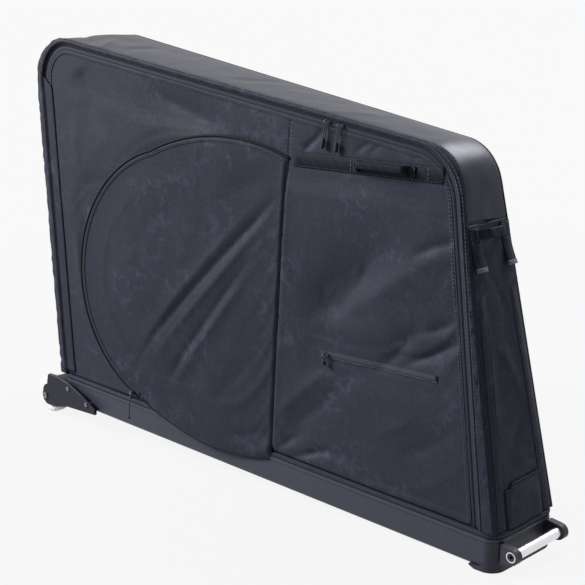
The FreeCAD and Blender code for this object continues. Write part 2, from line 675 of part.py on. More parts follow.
slot = across(ROLLER_R + ROLLER_GAP, -ROLLER_MID - slot_half, -ROLLER_MID + slot_half)
slot = slot.fuse(box(AXLE_X - 60, AXLE_X + ROLLER_R + ROLLER_GAP,
                     -ROLLER_MID - slot_half, -ROLLER_MID + slot_half, -80, AXLE_Z))
axle_hole = across(AXLE_R + RUN_FIT, -CHEEK_Y - 1, -INNER_Y + 1)
housing = fused(cheek, packing).cut(tray_outer).cut(slot).cut(axle_hole)
screws = []
for sx, sz in ((X_REAR + 34, 40), (X_REAR + 107, 20)):
    wall = half_width(sx)
    housing = housing.cut(across(SCREW_R + RUN_FIT, -CHEEK_Y - 1, -wall + 1, sx, sz))
    head = across(SCREW_HEAD_R, -CHEEK_Y - 2.6, -CHEEK_Y, sx, sz)
    head = head.cut(across(2.4, -CHEEK_Y - 3, -CHEEK_Y - 1.2, sx, sz))
    screws.append(fused(head, across(SCREW_R, -CHEEK_Y, -wall - 0.3, sx, sz)))
pair("roller_housing", housing)
pair("housing_screws", Part.Compound(screws))
axle = fused(across(AXLE_R, -CHEEK_Y, -INNER_Y), across(7.5, -CHEEK_Y - 3.5, -CHEEK_Y),
             across(6.5, -INNER_Y, -INNER_Y + 5))
axle = axle.cut(across(3, -CHEEK_Y - 4, -CHEEK_Y - 1.5))
pair("roller_axle", axle)
w = ROLLER_W / 2
tyre_edge = [(HUB_R + RUN_FIT, -w), (ROLLER_R - 7, -w), (ROLLER_R - 2, -w + 3), (ROLLER_R, -w + 8)]
tyre_half = outline(tyre_edge + [(r, -y) for r, y in reversed(tyre_edge)], [0] * 8)
TURNED = matrix(V(1, 0, 0), V(0, 1, 0), V(0, 0, 1), V(AXLE_X, -ROLLER_MID, AXLE_Z))
pair("roller_tyre", Part.Face(tyre_half).revolve(V(0, 0, 0), V(0, 1, 0), 360).transformed(TURNED))
b = AXLE_R + RUN_FIT
hub_edge = [(b, -w - 1.5), (12, -w - 1.5), (12, -w + 3), (20, -w + 5), (HUB_R, -w + 1)]
hub_half = outline(hub_edge + [(r, -y) for r, y in reversed(hub_edge)], [0] * 10)
pair("roller_hub", Part.Face(hub_half).revolve(V(0, 0, 0), V(0, 1, 0), 360).transformed(TURNED))

# Front bumper: wraps the tray's front corners and under-edge, open between the lugs, flat underneath
reach = math.hypot(FOOT_X - AXLE_X, FOOT_Z - AXLE_Z)
TILT = math.asin(ROLLER_R / reach) + math.atan2(FOOT_Z - AXLE_Z, FOOT_X - AXLE_X)
AT_FRONT = matrix(V(1, 0, 0), V(0, 0, 1), V(0, -1, 0), V(X_FRONT, 0, 0))
wrap = plate([(-SLED_L, 0.3), (-SLED_FOOT, FOOT_Z - 3), (60, FOOT_Z - 10), (60, BUMPER_TOP),
              (-BUMPER_WRAP, BUMPER_TOP), (-BUMPER_WRAP, SLED_H + 1), (-SLED_L, SLED_H)],
             [0, 20, 0, 0, 8, 16, 0], -300, 300, AT_FRONT)
bumper = slab(tray_plan(BUMPER_T), FOOT_Z - 10, BUMPER_TOP).common(wrap).cut(tray_outer)
window = LUG_OUT - LUG_W - 4
bumper = bumper.cut(box(X_FRONT - 12, 900, -window, window, 12, 100))
floor_frame = matrix(V(math.cos(TILT), 0, math.sin(TILT)), V(0, 1, 0), V(-math.sin(TILT), 0, math.cos(TILT)),
                     V(FOOT_X, 0, FOOT_Z))
parts["front_bumper"] = bumper.cut(box(-300, 300, -400, 400, -200, 0, floor_frame))


def touch(px, pz, sign):
    """Point where a line from outside meets the round end of a lug."""
    d = math.hypot(px - TUBE_X, pz - TUBE_Z)
    a = math.atan2(pz - TUBE_Z, px - TUBE_X) + sign * math.acos(LUG_R / d)
    return (TUBE_X + LUG_R * math.cos(a), TUBE_Z + LUG_R * math.sin(a))


root_x = X_FRONT + BUMPER_T
root_low = 16.0
root_high = BUMPER_TOP
lug = plate([(root_x, root_low), touch(root_x, root_low, 1), (TUBE_X, TUBE_Z), touch(root_x, root_high, -1),
             (root_x, root_high)], 0, LUG_OUT - LUG_W, LUG_OUT, UPRIGHT)
lug = fused(lug, across(LUG_R, -LUG_OUT, -LUG_OUT + LUG_W, TUBE_X, TUBE_Z))
pair("tube_lug", lug.cut(across(TUBE_R + RUN_FIT, -LUG_OUT - 1, 0, TUBE_X, TUBE_Z)))
tube = across(TUBE_R, -LUG_OUT, LUG_OUT, TUBE_X, TUBE_Z)
parts["pull_tube"] = tube.cut(across(TUBE_R - TUBE_WALL, -LUG_OUT - 1, LUG_OUT + 1, TUBE_X, TUBE_Z))
plug = across(TUBE_R - TUBE_WALL, -LUG_OUT + 1.5, -LUG_OUT + 16, TUBE_X, TUBE_Z)
pair("tube_plug", plug.cut(across(3.5, -LUG_OUT, -LUG_OUT + 8, TUBE_X, TUBE_Z)))

parts["base_tray"] = tray

# Set the case down: rollers and bumper on the floor, origin under the middle of its box
settle = matrix(V(math.cos(TILT), 0, -math.sin(TILT)), V(0, 1, 0),
                V(math.sin(TILT), 0, math.cos(TILT)), V(0, 0, 0))
placed = {name: shape.transformed(settle) for name, shape in parts.items()}
bounds = FreeCAD.BoundBox()
for shape in placed.values():
    bounds.add(shape.optimalBoundingBox(False, False))
floor_z = settle.multVec(V(AXLE_X, 0, AXLE_Z)).z - ROLLER_R
to_origin = V(-bounds.Center.x, -bounds.Center.y, -floor_z)

os.makedirs("parts", exist_ok=True)
for name, shape in placed.items():
    if not shape.isValid() or not shape.Solids:
        raise ValueError("bad solid: " + name)
    shape.translated(to_origin).exportStep("parts/" + name + ".step")
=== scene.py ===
"""Cloth, webbing, zips, cords and finishes of a soft-sided bike travel case, built round its frame."""
import json
import math

import bmesh
import bpy
from mathutils import Matrix, Vector, noise
from mathutils.bvhtree import BVHTree


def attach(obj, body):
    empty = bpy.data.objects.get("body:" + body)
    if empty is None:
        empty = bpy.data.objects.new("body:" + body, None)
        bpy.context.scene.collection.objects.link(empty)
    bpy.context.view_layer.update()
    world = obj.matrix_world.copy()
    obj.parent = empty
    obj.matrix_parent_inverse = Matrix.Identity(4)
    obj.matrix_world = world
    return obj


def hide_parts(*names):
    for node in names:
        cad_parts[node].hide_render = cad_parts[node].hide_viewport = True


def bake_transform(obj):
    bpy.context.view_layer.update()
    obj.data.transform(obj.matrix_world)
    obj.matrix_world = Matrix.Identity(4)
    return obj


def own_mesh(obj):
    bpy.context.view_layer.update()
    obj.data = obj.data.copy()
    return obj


bl_info = {
    "name": "Bike Travel Case",
    "version": (1, 0, 0),
    "blender": (4, 5, 0),
    "location": "View3D > Sidebar > Case",
    "description": "Builds the cloth, webbing, zips and finishes of a soft bike travel case",
    "category": "Add Mesh",
}

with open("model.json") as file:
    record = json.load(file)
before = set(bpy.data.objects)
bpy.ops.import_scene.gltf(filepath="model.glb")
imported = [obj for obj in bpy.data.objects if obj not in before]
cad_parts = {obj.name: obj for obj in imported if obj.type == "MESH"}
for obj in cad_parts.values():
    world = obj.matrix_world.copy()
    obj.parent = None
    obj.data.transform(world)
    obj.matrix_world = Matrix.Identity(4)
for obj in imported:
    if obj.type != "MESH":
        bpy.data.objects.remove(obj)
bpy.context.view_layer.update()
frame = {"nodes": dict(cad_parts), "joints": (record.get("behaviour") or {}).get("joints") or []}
JOINTS = {joint["name"]: joint for joint in frame["joints"]}

# Layout of the case in its own level frame: x along it, z up from the tray's underside, in metres
X_FRONT = 0.650
X_REAR = -0.580
Z_RIM = 0.061
BINDING_H = 0.011
Z_CLOTH = Z_RIM + BINDING_H
FRONT_SLOPE = -0.221
REAR_SLOPE = -0.155
TOP_SLOPE = 0.108
TOP_AT_FRONT = 0.730
TOP_CORNER_R = 0.085
HALF_FRONT = 0.087
PLAN_TAPER = 0.055
SIDE_LEAN = 0.066
SIDE_T = 0.008
# Tray and the near roller's axle
LIP = 0.003
TRAY_WALL = 0.004
TRAY_CORNER_R = 0.026
AXLE = Vector((-0.643, -0.140, -0.003))
# Cloth band over front, top and rear: heights of its seams, steps along its outline
Z_FRONT_SEAM = 0.604
Z_REAR_SEAM = 0.760
BAND_STEPS = 400
# Border of the opening side, the main zip, and the flap over the zip's rear run
BORDER_FOOT = 0.036
BORDER_TOP = 0.008
BORDER_REAR = 0.026
BORDER_HEM = 0.0060
ZIP_SLOPE = -0.182
ZIP_CORNER_R = 0.105
ZIP_W = 0.007
ZIP_STEPS = 300
PLACKET = 0.0125
FLAP_FROM = 218
FLAP_EDGES = (-0.0165, 0.0235)
FLAP_UP = 0.0026
FLAP_ROWS = 14
# Wheel pocket: its seam, the circle of its mouth (ends in degrees), brow, sag, splay and cut size
SEAM_X = 0.110
SEAM_TOP = 0.668
SEAM_FOOT = 0.052
POCKET_X = -0.168
POCKET_Z = 0.367
POCKET_R = 0.287
POCKET_BROW = (-0.060, 0.692)
POCKET_SAG = (-0.070, 0.034)
POCKET_ROLL = 0.030
MOUTH_TOP = 107.0
MOUTH_FOOT = 250.0
MOUTH_STEPS = 200
POCKET_SPLAY = math.radians(5.0)
FAR_POCKET_R = 0.285
FAR_POCKET_OUT = 0.034
# Webbing on the side, then on the front
WEB_T = 0.002
WEB_W = 0.030
STRAP_START = (0.122, 0.671)
STRAP_END = (0.470, 0.685)
HANDLE_AT = 0.222
HANDLE_L = 0.142
HANDLE_OUT = 0.024
GRIP_W = 0.026
GRIP_STEPS = 56
FRONT_HANDLE_Z = 0.600
FRONT_HANDLE_OUT = 0.022
FRONT_GRIP_W = 0.020
FRONT_STRAP_L = 0.077
TAIL_W = 0.027
TAIL_OVER = {"near": 0.002, "far": 0.006}
TAIL_CAP = 0.007
EDGE_BAND_TOP = 0.500
BAND_W = 0.020
FRONT_POCKET_Z = 0.150
# Inside: the padded block on its board, and the buckle in the wheel pocket
BOARD_TOP = 0.008
CRADLE_L = 0.420
CRADLE_W = 0.084
CRADLE_H = 0.064
CRADLE_X = -0.060
BUCKLE = (-0.460, 0.470)
HOLD_STRAP = (-0.470, 0.470)
# Sliders and their cord pulls
SLIDER_A_X = 0.205
SLIDER_B_X = 0.238
SLIDER_SEAT = 0.0003
BAR_UP = 0.0064
LOOP_R = 0.0025
PULL_DROP = 0.034
PULL_R = 0.0012
SMALL_ZIP_START = (0.221, 0.306)
SMALL_ZIP_END = (0.498, 0.322)
SMALL_SLIDER_AT = 0.014
SMALL_DROP = 0.014
SLIDER_ANGLE = 246.0
RING_R = 0.00335
RING_UP = 0.0042
CORD_R = 0.0014
# Thickness of each cloth; slack of the settled cloth and the soft cap on its moves
BAND_T = 0.004
WALL_T = 0.006
BORDER_T = 0.005
POCKET_T = 0.0022
FAR_POCKET_T = 0.003
FLAP_T = 0.0008
TAPE_T = 0.001
DOCUMENT_T = 0.0014
SLACK = 0.001
MOVE_CAP = 0.003
# How far off a surface a ray starts that looks for its height, and how far it goes
RAY_FROM = 0.08
RAY_REACH = 0.12
# Viewing angle, solved for a square picture: eye, right and backward directions, focal length in millimetres
CAMERA_EYE = (1.85966, -1.73511, 1.05870)
CAMERA_RIGHT = (0.69733, 0.71659, -0.01532)
CAMERA_BACK = (0.69563, -0.67148, 0.25535)
CAMERA_LENS = 77.22
FLOOR_HALF = 40
# Folds of the slack cloth: points in x and z, depth as a share of the crease depth, width, fade at each end
PANEL_FOLDS = (
    (((0.150, 0.330), (0.270, 0.450), (0.385, 0.565)), -1.45, 0.042),
    (((0.245, 0.376), (0.390, 0.480), (0.507, 0.566)), 0.90, 0.034, (0.4, 0.1)),
    (((0.330, 0.290), (0.379, 0.325), (0.463, 0.429)), -0.80, 0.016, (0.5, 0.4)),
    (((0.400, 0.318), (0.470, 0.360), (0.535, 0.398)), -0.80, 0.010, (0.5, 0)),
    (((0.430, 0.390), (0.480, 0.410), (0.530, 0.434)), -0.60, 0.009, (0.5, 0)),
    (((0.410, 0.530), (0.465, 0.557), (0.508, 0.575)), -0.60, 0.009, (0.6, 0)),
    (((0.115, 0.150), (0.217, 0.255), (0.340, 0.370)), 0.45, 0.016, (0.1, 0.5)),
    (((0.128, 0.110), (0.190, 0.165), (0.363, 0.335)), -0.45, 0.018, (0.1, 0.5)),
    (((0.120, 0.075), (0.150, 0.105), (0.200, 0.150)), -0.55, 0.008, (0, 0.6)),
    (((0.360, 0.175), (0.410, 0.205), (0.470, 0.245)), 0.30, 0.010),
    (((0.420, 0.150), (0.500, 0.200), (0.575, 0.270)), -0.30, 0.014),
    (((0.470, 0.110), (0.530, 0.140), (0.585, 0.190)), 0.30, 0.012),
    (((0.114, 0.067), (0.183, 0.085), (0.229, 0.106), (0.270, 0.116), (0.315, 0.112)), -0.75, 0.006, (0, 0.5)),
    (((0.330, 0.094), (0.430, 0.093), (0.530, 0.092), (0.598, 0.090)), -0.40, 0.005, (0.3, 0)),
    (((0.140, 0.690), (0.156, 0.700), (0.193, 0.735)), -0.42, 0.005, (0.2, 0)),
    (((0.268, 0.700), (0.290, 0.715), (0.324, 0.737)), -0.38, 0.004, (0.3, 0)),
    (((0.292, 0.702), (0.312, 0.716), (0.343, 0.737)), 0.30, 0.004, (0.3, 0)),
    (((0.300, 0.704), (0.322, 0.717), (0.352, 0.737)), -0.32, 0.004, (0.3, 0)),
    (((0.402, 0.704), (0.414, 0.713), (0.430, 0.724)), -0.30, 0.004, (0.3, 0)),
    (((-0.340, 0.778), (-0.200, 0.735), (-0.050, 0.702)), -0.75, 0.026),
    (((-0.460, 0.835), (-0.425, 0.780), (-0.396, 0.700)), 0.60, 0.016, (0, 0.5)),
    (((-0.540, 0.790), (-0.500, 0.720), (-0.450, 0.640)), -0.60, 0.022, (0.1, 0.5)),
    (((-0.560, 0.700), (-0.540, 0.600), (-0.500, 0.540)), 0.45, 0.014),
    (((-0.545, 0.480), (-0.530, 0.360), (-0.505, 0.220)), 0.45, 0.010),
    (((-0.525, 0.500), (-0.505, 0.380), (-0.480, 0.200)), -0.45, 0.011),
)
POCKET_FOLDS = (
    (((0.100, 0.608), (0.025, 0.525), (-0.083, 0.409), (-0.187, 0.290), (-0.261, 0.195), (-0.289, 0.135)),
     -0.80, 0.007, (0.15, 0.3)),
    (((0.060, 0.590), (-0.010, 0.520), (-0.105, 0.412), (-0.206, 0.292), (-0.278, 0.192)), 0.60, 0.011),
    (((0.095, 0.580), (0.020, 0.490), (-0.080, 0.372), (-0.176, 0.255), (-0.250, 0.150)), 0.65, 0.008),
    (((0.040, 0.478), (-0.047, 0.354), (-0.128, 0.239), (-0.200, 0.125)), -0.65, 0.007, (0.3, 0.2)),
    (((0.052, 0.462), (-0.030, 0.345), (-0.112, 0.228), (-0.175, 0.125)), 0.60, 0.009),
    (((0.085, 0.300), (0.030, 0.230), (-0.040, 0.150), (-0.090, 0.070)), -0.40, 0.016),
    (((0.090, 0.640), (0.000, 0.600), (-0.100, 0.540)), -0.40, 0.022),
    (((-0.110, 0.560), (-0.220, 0.500), (-0.330, 0.400)), -0.35, 0.030),
    (((0.095, 0.115), (0.040, 0.090), (-0.040, 0.070)), -0.45, 0.009, (0, 0.4)),
)
# Folds of the cloth band: points across it and along its way from the piece's start, depth and width in metres
FRONT_FOLDS = (
    (((-0.048, 0.060), (-0.047, 0.200), (-0.042, 0.330), (-0.038, 0.420)), 0.0030, 0.007),
    (((-0.046, 0.300), (-0.020, 0.320), (0.010, 0.285), (0.040, 0.200)), 0.0024, 0.008),
    (((0.050, 0.100), (0.046, 0.250), (0.034, 0.400)), 0.0022, 0.009),
    (((-0.030, 0.110), (0.010, 0.170), (0.045, 0.180)), -0.0022, 0.010),
    (((-0.030, 0.460), (0.000, 0.430), (0.020, 0.360)), -0.0024, 0.010),
)
TOP_FOLDS = (
    (((-0.090, 1.020), (-0.020, 1.060), (0.060, 1.040)), -0.0030, 0.012),
    (((-0.100, 1.090), (-0.040, 1.130), (0.020, 1.180)), 0.0040, 0.010, (0.05, 0.35)),
    (((-0.095, 1.140), (-0.050, 1.200), (-0.010, 1.270)), -0.0040, 0.010, (0.05, 0.35)),
    (((0.080, 0.300), (-0.050, 0.420), (-0.090, 0.470)), 0.0016, 0.014),
    (((0.080, 0.620), (0.000, 0.700), (-0.090, 0.730)), -0.0018, 0.016),
)
REAR_FOLDS = (
    (((-0.120, 0.080), (0.000, 0.180), (0.090, 0.420)), 0.0040, 0.014),
    (((0.120, 0.120), (0.020, 0.260), (-0.060, 0.520)), -0.0040, 0.016),
    (((-0.100, 0.500), (0.000, 0.470), (0.100, 0.560)), 0.0030, 0.012),
)
# Folds of the far pocket: two ends in x and z, depth as a share of the crease depth, width
FAR_FOLDS = (
    (((0.09, 0.60), (-0.25, 0.20)), -0.7, 0.012), (((0.09, 0.40), (-0.15, 0.12)), 0.5, 0.014),
    (((0.05, 0.63), (-0.30, 0.42)), 0.45, 0.014), (((0.08, 0.52), (-0.20, 0.17)), 0.5, 0.03),
)


def linear(code):
    """Linear RGBA of an sRGB hex colour."""
    parts = [int(code[i:i + 2], 16) / 255 for i in (1, 3, 5)]
    return [c / 12.92 if c <= 0.04045 else ((c + 0.055) / 1.055) ** 2.4 for c in parts] + [1.0]


def colour(label, code, words):
    """Colour that a user may change, from an sRGB hex value."""
    return bpy.props.FloatVectorProperty(name=label, description=words, subtype="COLOR", size=4, min=0, max=1,
                                         default=linear(code))


def length(label, metres, words):
    """Length that a user may change, in metres."""
    return bpy.props.FloatProperty(name=label, description=words, unit="LENGTH", default=metres, min=0)


class CaseColours(bpy.types.PropertyGroup):
    """Colours of the case's finishes and of the floor"""
    cloth: colour("Cloth", "#2b2d39", "Woven polyester of the walls")
    cloth_mottle: colour("Cloth mottle", "#454958", "Paler patches printed tone on tone in the weave")
    coated: colour("Coated cloth", "#25262f", "Smooth coated cloth over the top and front corner")
    # One webbing on side and front: the side's copy is painted darker, as the key lamp falls on it, and the
    # front's copy paler, to make up for the shade on the front wall
    webbing: colour("Webbing", "#1f2029", "Woven strap and handle on the side")
    front_webbing_painted_paler: colour("Front webbing", "#30323d", "Woven handle and tails on the front")
    thread: colour("Thread", "#2f313c", "Sewing thread")
    pale_thread: colour("Bar tacks", "#6a6c78", "Thread of the strap's cross rows")
    tape: colour("Zip tape", "#2c2e39", "Woven zip tape")
    pale_tape: colour("Coated zip tape", "#3d404c", "Turned tape of the small zip")
    # Piping painted nearly black, darker than the zip tape, so that along the pocket's edges it also stands for
    # the shadow line under the cloth's edge
    piping: colour("Piping", "#15161c", "Piping of the wheel pocket")
    tray: colour("Tray", "#353844", "Moulded tray")
    # One moulded nylon for bumper, lugs and housings: the housings' copy is painted darker, as the key lamp falls
    # on their faces, and the mouldings' copy paler, for the shade on the bumper
    black: colour("Mouldings", "#2a2b35", "Bumper and lugs")
    housing_painted_darker: colour("Housings", "#1d1e26", "Roller housings")
    roller: colour("Rollers", "#e4e4e2", "Translucent rollers")
    metal: colour("Bright metal", "#e2e3e6", "Pull tube and stays")
    floor: colour("Floor", "#b8b8b8", "Studio floor")


class CaseSizes(bpy.types.PropertyGroup):
    """Sizes of the soft goods and their sewing"""
    panel_swell: length("Panel swell", 0.007, "How far the padded walls stand out in the middle")
    pocket_swell: length("Pocket swell", 0.0125, "How far the wheel pocket's cloth stands out in the middle")
    crease: length("Crease depth", 0.013, "Depth of the opening side's folds")
    pocket_crease: length("Pocket crease depth", 0.0058, "Depth of the wheel pocket's folds")
    stitch: length("Stitch length", 0.0045, "Length of one stitch")
    stitch_gap: length("Stitch gap", 0.0025, "Gap from stitch to stitch")
    thread_r: length("Thread radius", 0.0005, "Radius of the sewing thread, drawn thick enough to see")
    tooth_pitch: length("Zip pitch", 0.0032, "Distance from one zip tooth to the next")
    piping_r: length("Piping radius", 0.0021, "Radius of the piping along the case edges")
    web_t: length("Webbing thickness", 0.0018, "Thickness of straps")


def sizes():
    return bpy.context.scene.case_sizes


def colours():
    return bpy.context.scene.case_colours


# Frames of the case


def tray_frame():
    """Matrix from the case's level frame to where it stands, tilted on its rollers."""
    rim = Vector(JOINTS["side_panel_open"]["axis"])
    turn = Matrix.Rotation(math.atan2(-rim.z, rim.x), 4, "Y")
    axle = Vector(JOINTS["roller_near_spin"]["pos_m"])
    return Matrix.Translation(axle - turn @ AXLE) @ turn


TRAY = tray_frame()


def half_width(x):
    """Half the case's width at its rim."""
    return HALF_FRONT + PLAN_TAPER * (X_FRONT - x)


def near_point(x, z):
    """Point of the opening side's plane at x and z."""
    return Vector((x, -(half_width(x) - SIDE_LEAN * (z - Z_RIM)), z))


def axes(first, second, third, origin):
    """Frame with these axes and origin."""
    turn = Matrix((first, second, third)).transposed().to_4x4()
    return turn + Matrix.Translation(origin) - Matrix.Identity(4)


SIDE_O = near_point(0, Z_RIM)
SIDE_U = Vector((1, PLAN_TAPER, 0)).normalized()
SIDE_N = Vector((PLAN_TAPER, -1, SIDE_LEAN)).normalized()
SIDE_V = SIDE_N.cross(SIDE_U)
SIDE = axes(SIDE_U, SIDE_V, SIDE_N, SIDE_O)
FRONT_V = Vector((FRONT_SLOPE, 0, 1)).normalized()
FRONT_N = Vector((0, 1, 0)).cross(FRONT_V)
FRONT_O = Vector((X_FRONT, 0, Z_RIM))
FRONT = axes(Vector((0, 1, 0)), FRONT_V, FRONT_N, FRONT_O)
MIRROR = Matrix.Scale(-1, 4, (0, 1, 0))


def on_side(x, z):
    """Plane point of the opening side at x and z."""
    p = near_point(x, z) - SIDE_O
    return Vector((p.dot(SIDE_U), p.dot(SIDE_V)))


SEAM_U = on_side(SEAM_X, Z_CLOTH).x
POCKET_X_DIR = SIDE_U * math.cos(POCKET_SPLAY) - SIDE_N * math.sin(POCKET_SPLAY)
POCKET_N = SIDE_N * math.cos(POCKET_SPLAY) + SIDE_U * math.sin(POCKET_SPLAY)
POCKET = axes(POCKET_X_DIR, SIDE_V, POCKET_N, SIDE_O + SIDE_U * SEAM_U)


def on_pocket(x, z):
    """Plane point of the splayed wheel pocket at x and z."""
    p = on_side(x, z)
    return Vector(((p.x - SEAM_U) / math.cos(POCKET_SPLAY), p.y))


# Small sums


def clamped(value):
    """A value kept between zero and one."""
    return max(0.0, min(1.0, value))


def eased(value):
    """Smooth step from zero to one."""
    t = clamped(value)
    return t * t * (3 - 2 * t)


def squared(value, power):
    """A sine or cosine drawn out towards a square."""
    return math.copysign(abs(value) ** power, value)


def on_circle(centre, radius, degrees):
    """Point of a circle at an angle."""
    t = math.radians(degrees)
    return centre + Vector((math.cos(t), math.sin(t))) * radius


def heading(line, i):
    """Direction of a line at one of its points."""
    return (line[min(len(line) - 1, i + 1)] - line[max(0, i - 1)]).normalized()


# Lines


def rounded(points, radii, steps=10):
    """Polyline with its corners rounded; the first and last point stay."""
    line = [Vector(points[0])]
    for before, here, after, radius in zip(points, points[1:], points[2:], radii):
        here = Vector(here)
        a = (Vector(before) - here).normalized()
        b = (Vector(after) - here).normalized()
        half = a.angle(b) / 2
        centre = here + (a + b).normalized() * (radius / math.sin(half))
        start = here + a * (radius / math.tan(half)) - centre
        end = here + b * (radius / math.tan(half)) - centre
        for i in range(steps + 1):
            line.append(centre + start.slerp(end, i / steps) * radius)
    line.append(Vector(points[-1]))
    return line


def arc_through(a, b, c, count=24):
    """Points of the circle arc from a over b to c in a plane."""
    d = 2 * (a.x * (b.y - c.y) + b.x * (c.y - a.y) + c.x * (a.y - b.y))
    sq = [p.x * p.x + p.y * p.y for p in (a, b, c)]
    centre = Vector(((sq[0] * (b.y - c.y) + sq[1] * (c.y - a.y) + sq[2] * (a.y - b.y)) / d,
                     (sq[0] * (c.x - b.x) + sq[1] * (a.x - c.x) + sq[2] * (b.x - a.x)) / d))
    turn = [math.atan2(p.y - centre.y, p.x - centre.x) for p in (a, b, c)]
    sign = 1 if (b - a).cross(c - b) > 0 else -1
    sweep = (turn[2] - turn[0]) * sign % (2 * math.pi) * sign
    radius = (a - centre).length
    angles = [turn[0] + sweep * i / count for i in range(count + 1)]
    return [centre + Vector((math.cos(t), math.sin(t))) * radius for t in angles]


def spaced(line, count):
    """The line's points, evenly spaced along it, count steps in all."""
    ends = [0.0]
    for a, b in zip(line, line[1:]):
        ends.append(ends[-1] + (b - a).length)
    out = []
    at = 0
    for i in range(count + 1):
        want = ends[-1] * i / count
        while at < len(line) - 2 and ends[at + 1] < want:
            at += 1
        span = ends[at + 1] - ends[at]
        out.append(line[at].lerp(line[at + 1], min(1, (want - ends[at]) / span) if span > 0 else 0))
    return out


def line_length(line):
    """Length along a line of points."""
    return sum((b - a).length for a, b in zip(line, line[1:]))


def patch(bottom, top, left, right, across, up):
    """Grid of points filling four edges, rows from bottom to top."""
    b, t = spaced(bottom, across), spaced(top, across)
    l, r = spaced(left, up), spaced(right, up)
    rows = []
    for j in range(up + 1):
        v = j / up
        row = []
        for i in range(across + 1):
            u = i / across
            corners = (b[0] * (1 - u) + b[-1] * u) * (1 - v) + (t[0] * (1 - u) + t[-1] * u) * v
            row.append(b[i] * (1 - v) + t[i] * v + l[j] * (1 - u) + r[j] * u - corners)
        rows.append(row)
    return rows


def outline_edges(line, at):
    """Right, top and left edge of an outline that runs from the front foot over the top to the rear foot, cut a
    number of points from its ends; the top runs forward and both sides run up."""
    return line[:at + 1], line[at:-at][::-1], line[-at - 1:][::-1]


# Meshes


def new_object(name, data, material=None):
    """Object of a mesh, curve, lamp or lens, in the scene."""
    obj = bpy.data.objects.new(name, data)
    bpy.context.collection.objects.link(obj)
    if material:
        data.materials.append(material)
    return obj


def mesh_of(name, points, faces, finish, smooth=True):
    """Mesh object of points and faces in a finish."""
    mesh = bpy.data.meshes.new(name)
    mesh.from_pydata([tuple(p) for p in points], [], faces)
    mesh.validate()
    for polygon in mesh.polygons:
        polygon.use_smooth = smooth
    return new_object(name, mesh, finish_of(finish))


def grid_faces(across, up, closed=False):
    """Quads of a grid of rows; a closed grid joins each row's end to its start."""
    width = across if closed else across + 1
    faces = []
    for j in range(up):
        for i in range(across):
            k = (i + 1) % width
            faces.append((j * width + i, j * width + k, (j + 1) * width + k, (j + 1) * width + i))
    return faces


def ring_faces(ring, rows, looped=False):
    """Faces of rings set one after another: the last joins the first again, or both ends are capped."""
    last = rows * ring
    if looped:
        ends = [(last + k, last + (k + 1) % ring, (k + 1) % ring, k) for k in range(ring)]
    else:
        ends = [tuple(reversed(range(ring))), tuple(range(last, last + ring))]
    return grid_faces(ring, rows, True) + ends


def sheet_mesh(name, rows, place, height, finish):
    """Cloth over a grid of plane points, lifted by a height function, set in place by a matrix."""
    points = [TRAY @ place @ Vector((p.x, p.y, height(p, i / (len(row) - 1), j / (len(rows) - 1))))
              for j, row in enumerate(rows) for i, p in enumerate(row)]
    return mesh_of(name, points, grid_faces(len(rows[0]) - 1, len(rows) - 1), finish)


def thicken(obj, depth, edge=0.0):
    """Gives a sheet its thickness, inward, and sets the result as its mesh."""
    solid = obj.modifiers.new("Thickness", "SOLIDIFY")
    solid.thickness = depth
    solid.offset = -1
    solid.use_even_offset = False
    if edge:
        bevel = obj.modifiers.new("Edge", "BEVEL")
        bevel.width = edge
        bevel.segments = 2
        bevel.limit_method = "ANGLE"
        bevel.angle_limit = math.radians(50)
    settle(obj)


def settle(obj):
    """Sets an object's modified shape as its mesh."""
    graph = bpy.context.evaluated_depsgraph_get()
    mesh = bpy.data.meshes.new_from_object(obj.evaluated_get(graph))
    obj.modifiers.clear()
    obj.data = mesh


def tube(name, line, radius, finish, sides=8, closed=False):
    """Round tube along a line of points."""
    points = []
    count = len(line)
    side = None
    for i, p in enumerate(line):
        a = line[i - 1] if i or closed else line[0]
        b = line[(i + 1) % count] if i < count - 1 or closed else line[-1]
        along = (b - a).normalized()
        if side is None:
            side = along.orthogonal().normalized()
        side = (side - along * side.dot(along)).normalized()
        up = along.cross(side)
        for k in range(sides):
            t = 2 * math.pi * k / sides
            points.append(p + (side * math.cos(t) + up * math.sin(t)) * radius)
    return mesh_of(name, points, ring_faces(sides, count - 1, closed), finish)


def joined(name, pieces):
    """Several mesh objects as one."""
    whole = bmesh.new()
    materials = []
    for piece in pieces:
        start = len(whole.faces)
        whole.from_mesh(piece.data)
        whole.faces.ensure_lookup_table()
        material = piece.data.materials[0]
        if material not in materials:
            materials.append(material)
        for face in whole.faces[start:]:
            face.material_index = materials.index(material)
    mesh = bpy.data.meshes.new(name)
    whole.to_mesh(mesh)
    whole.free()
    for material in materials:
        mesh.materials.append(material)
    for piece in pieces:
        bpy.data.objects.remove(piece)
    return new_object(name, mesh)


def bars(name, line, normals, step, size, finish, shift=0.0):
    """A row of small rounded bars along a line: size is (along, across, up), set on the line by its normals."""
    total = line_length(line)
    count = max(1, int(total / step))
    ends = spaced(line, count)
    ups = spaced(normals, count)
    points = []
    faces = []
    for i in range(count):
        along = (ends[i + 1] - ends[i]).normalized()
        up = (ups[i] + ups[i + 1]).normalized()
        across = up.cross(along).normalized()
        centre = (ends[i] + ends[i + 1]) / 2 + across * shift
        base = len(points)
        for layer, shrink in ((0.0, 1.0), (0.6, 1.0), (1.0, 0.6)):
            for a, c in ((-1, -1), (1, -1), (1, 1), (-1, 1)):
                points.append(centre + along * (a * size[0] / 2 * shrink) + across * (c * size[1] / 2 * shrink)
                              + up * (size[2] * layer))
        for low in (base, base + 4):
            faces += [(low + k, low + (k + 1) % 4, low + 4 + (k + 1) % 4, low + 4 + k) for k in range(4)]
        faces.append((base + 8, base + 9, base + 10, base + 11))
        faces.append((base + 3, base + 2, base + 1, base))
    return mesh_of(name, points, faces, finish, smooth=False)


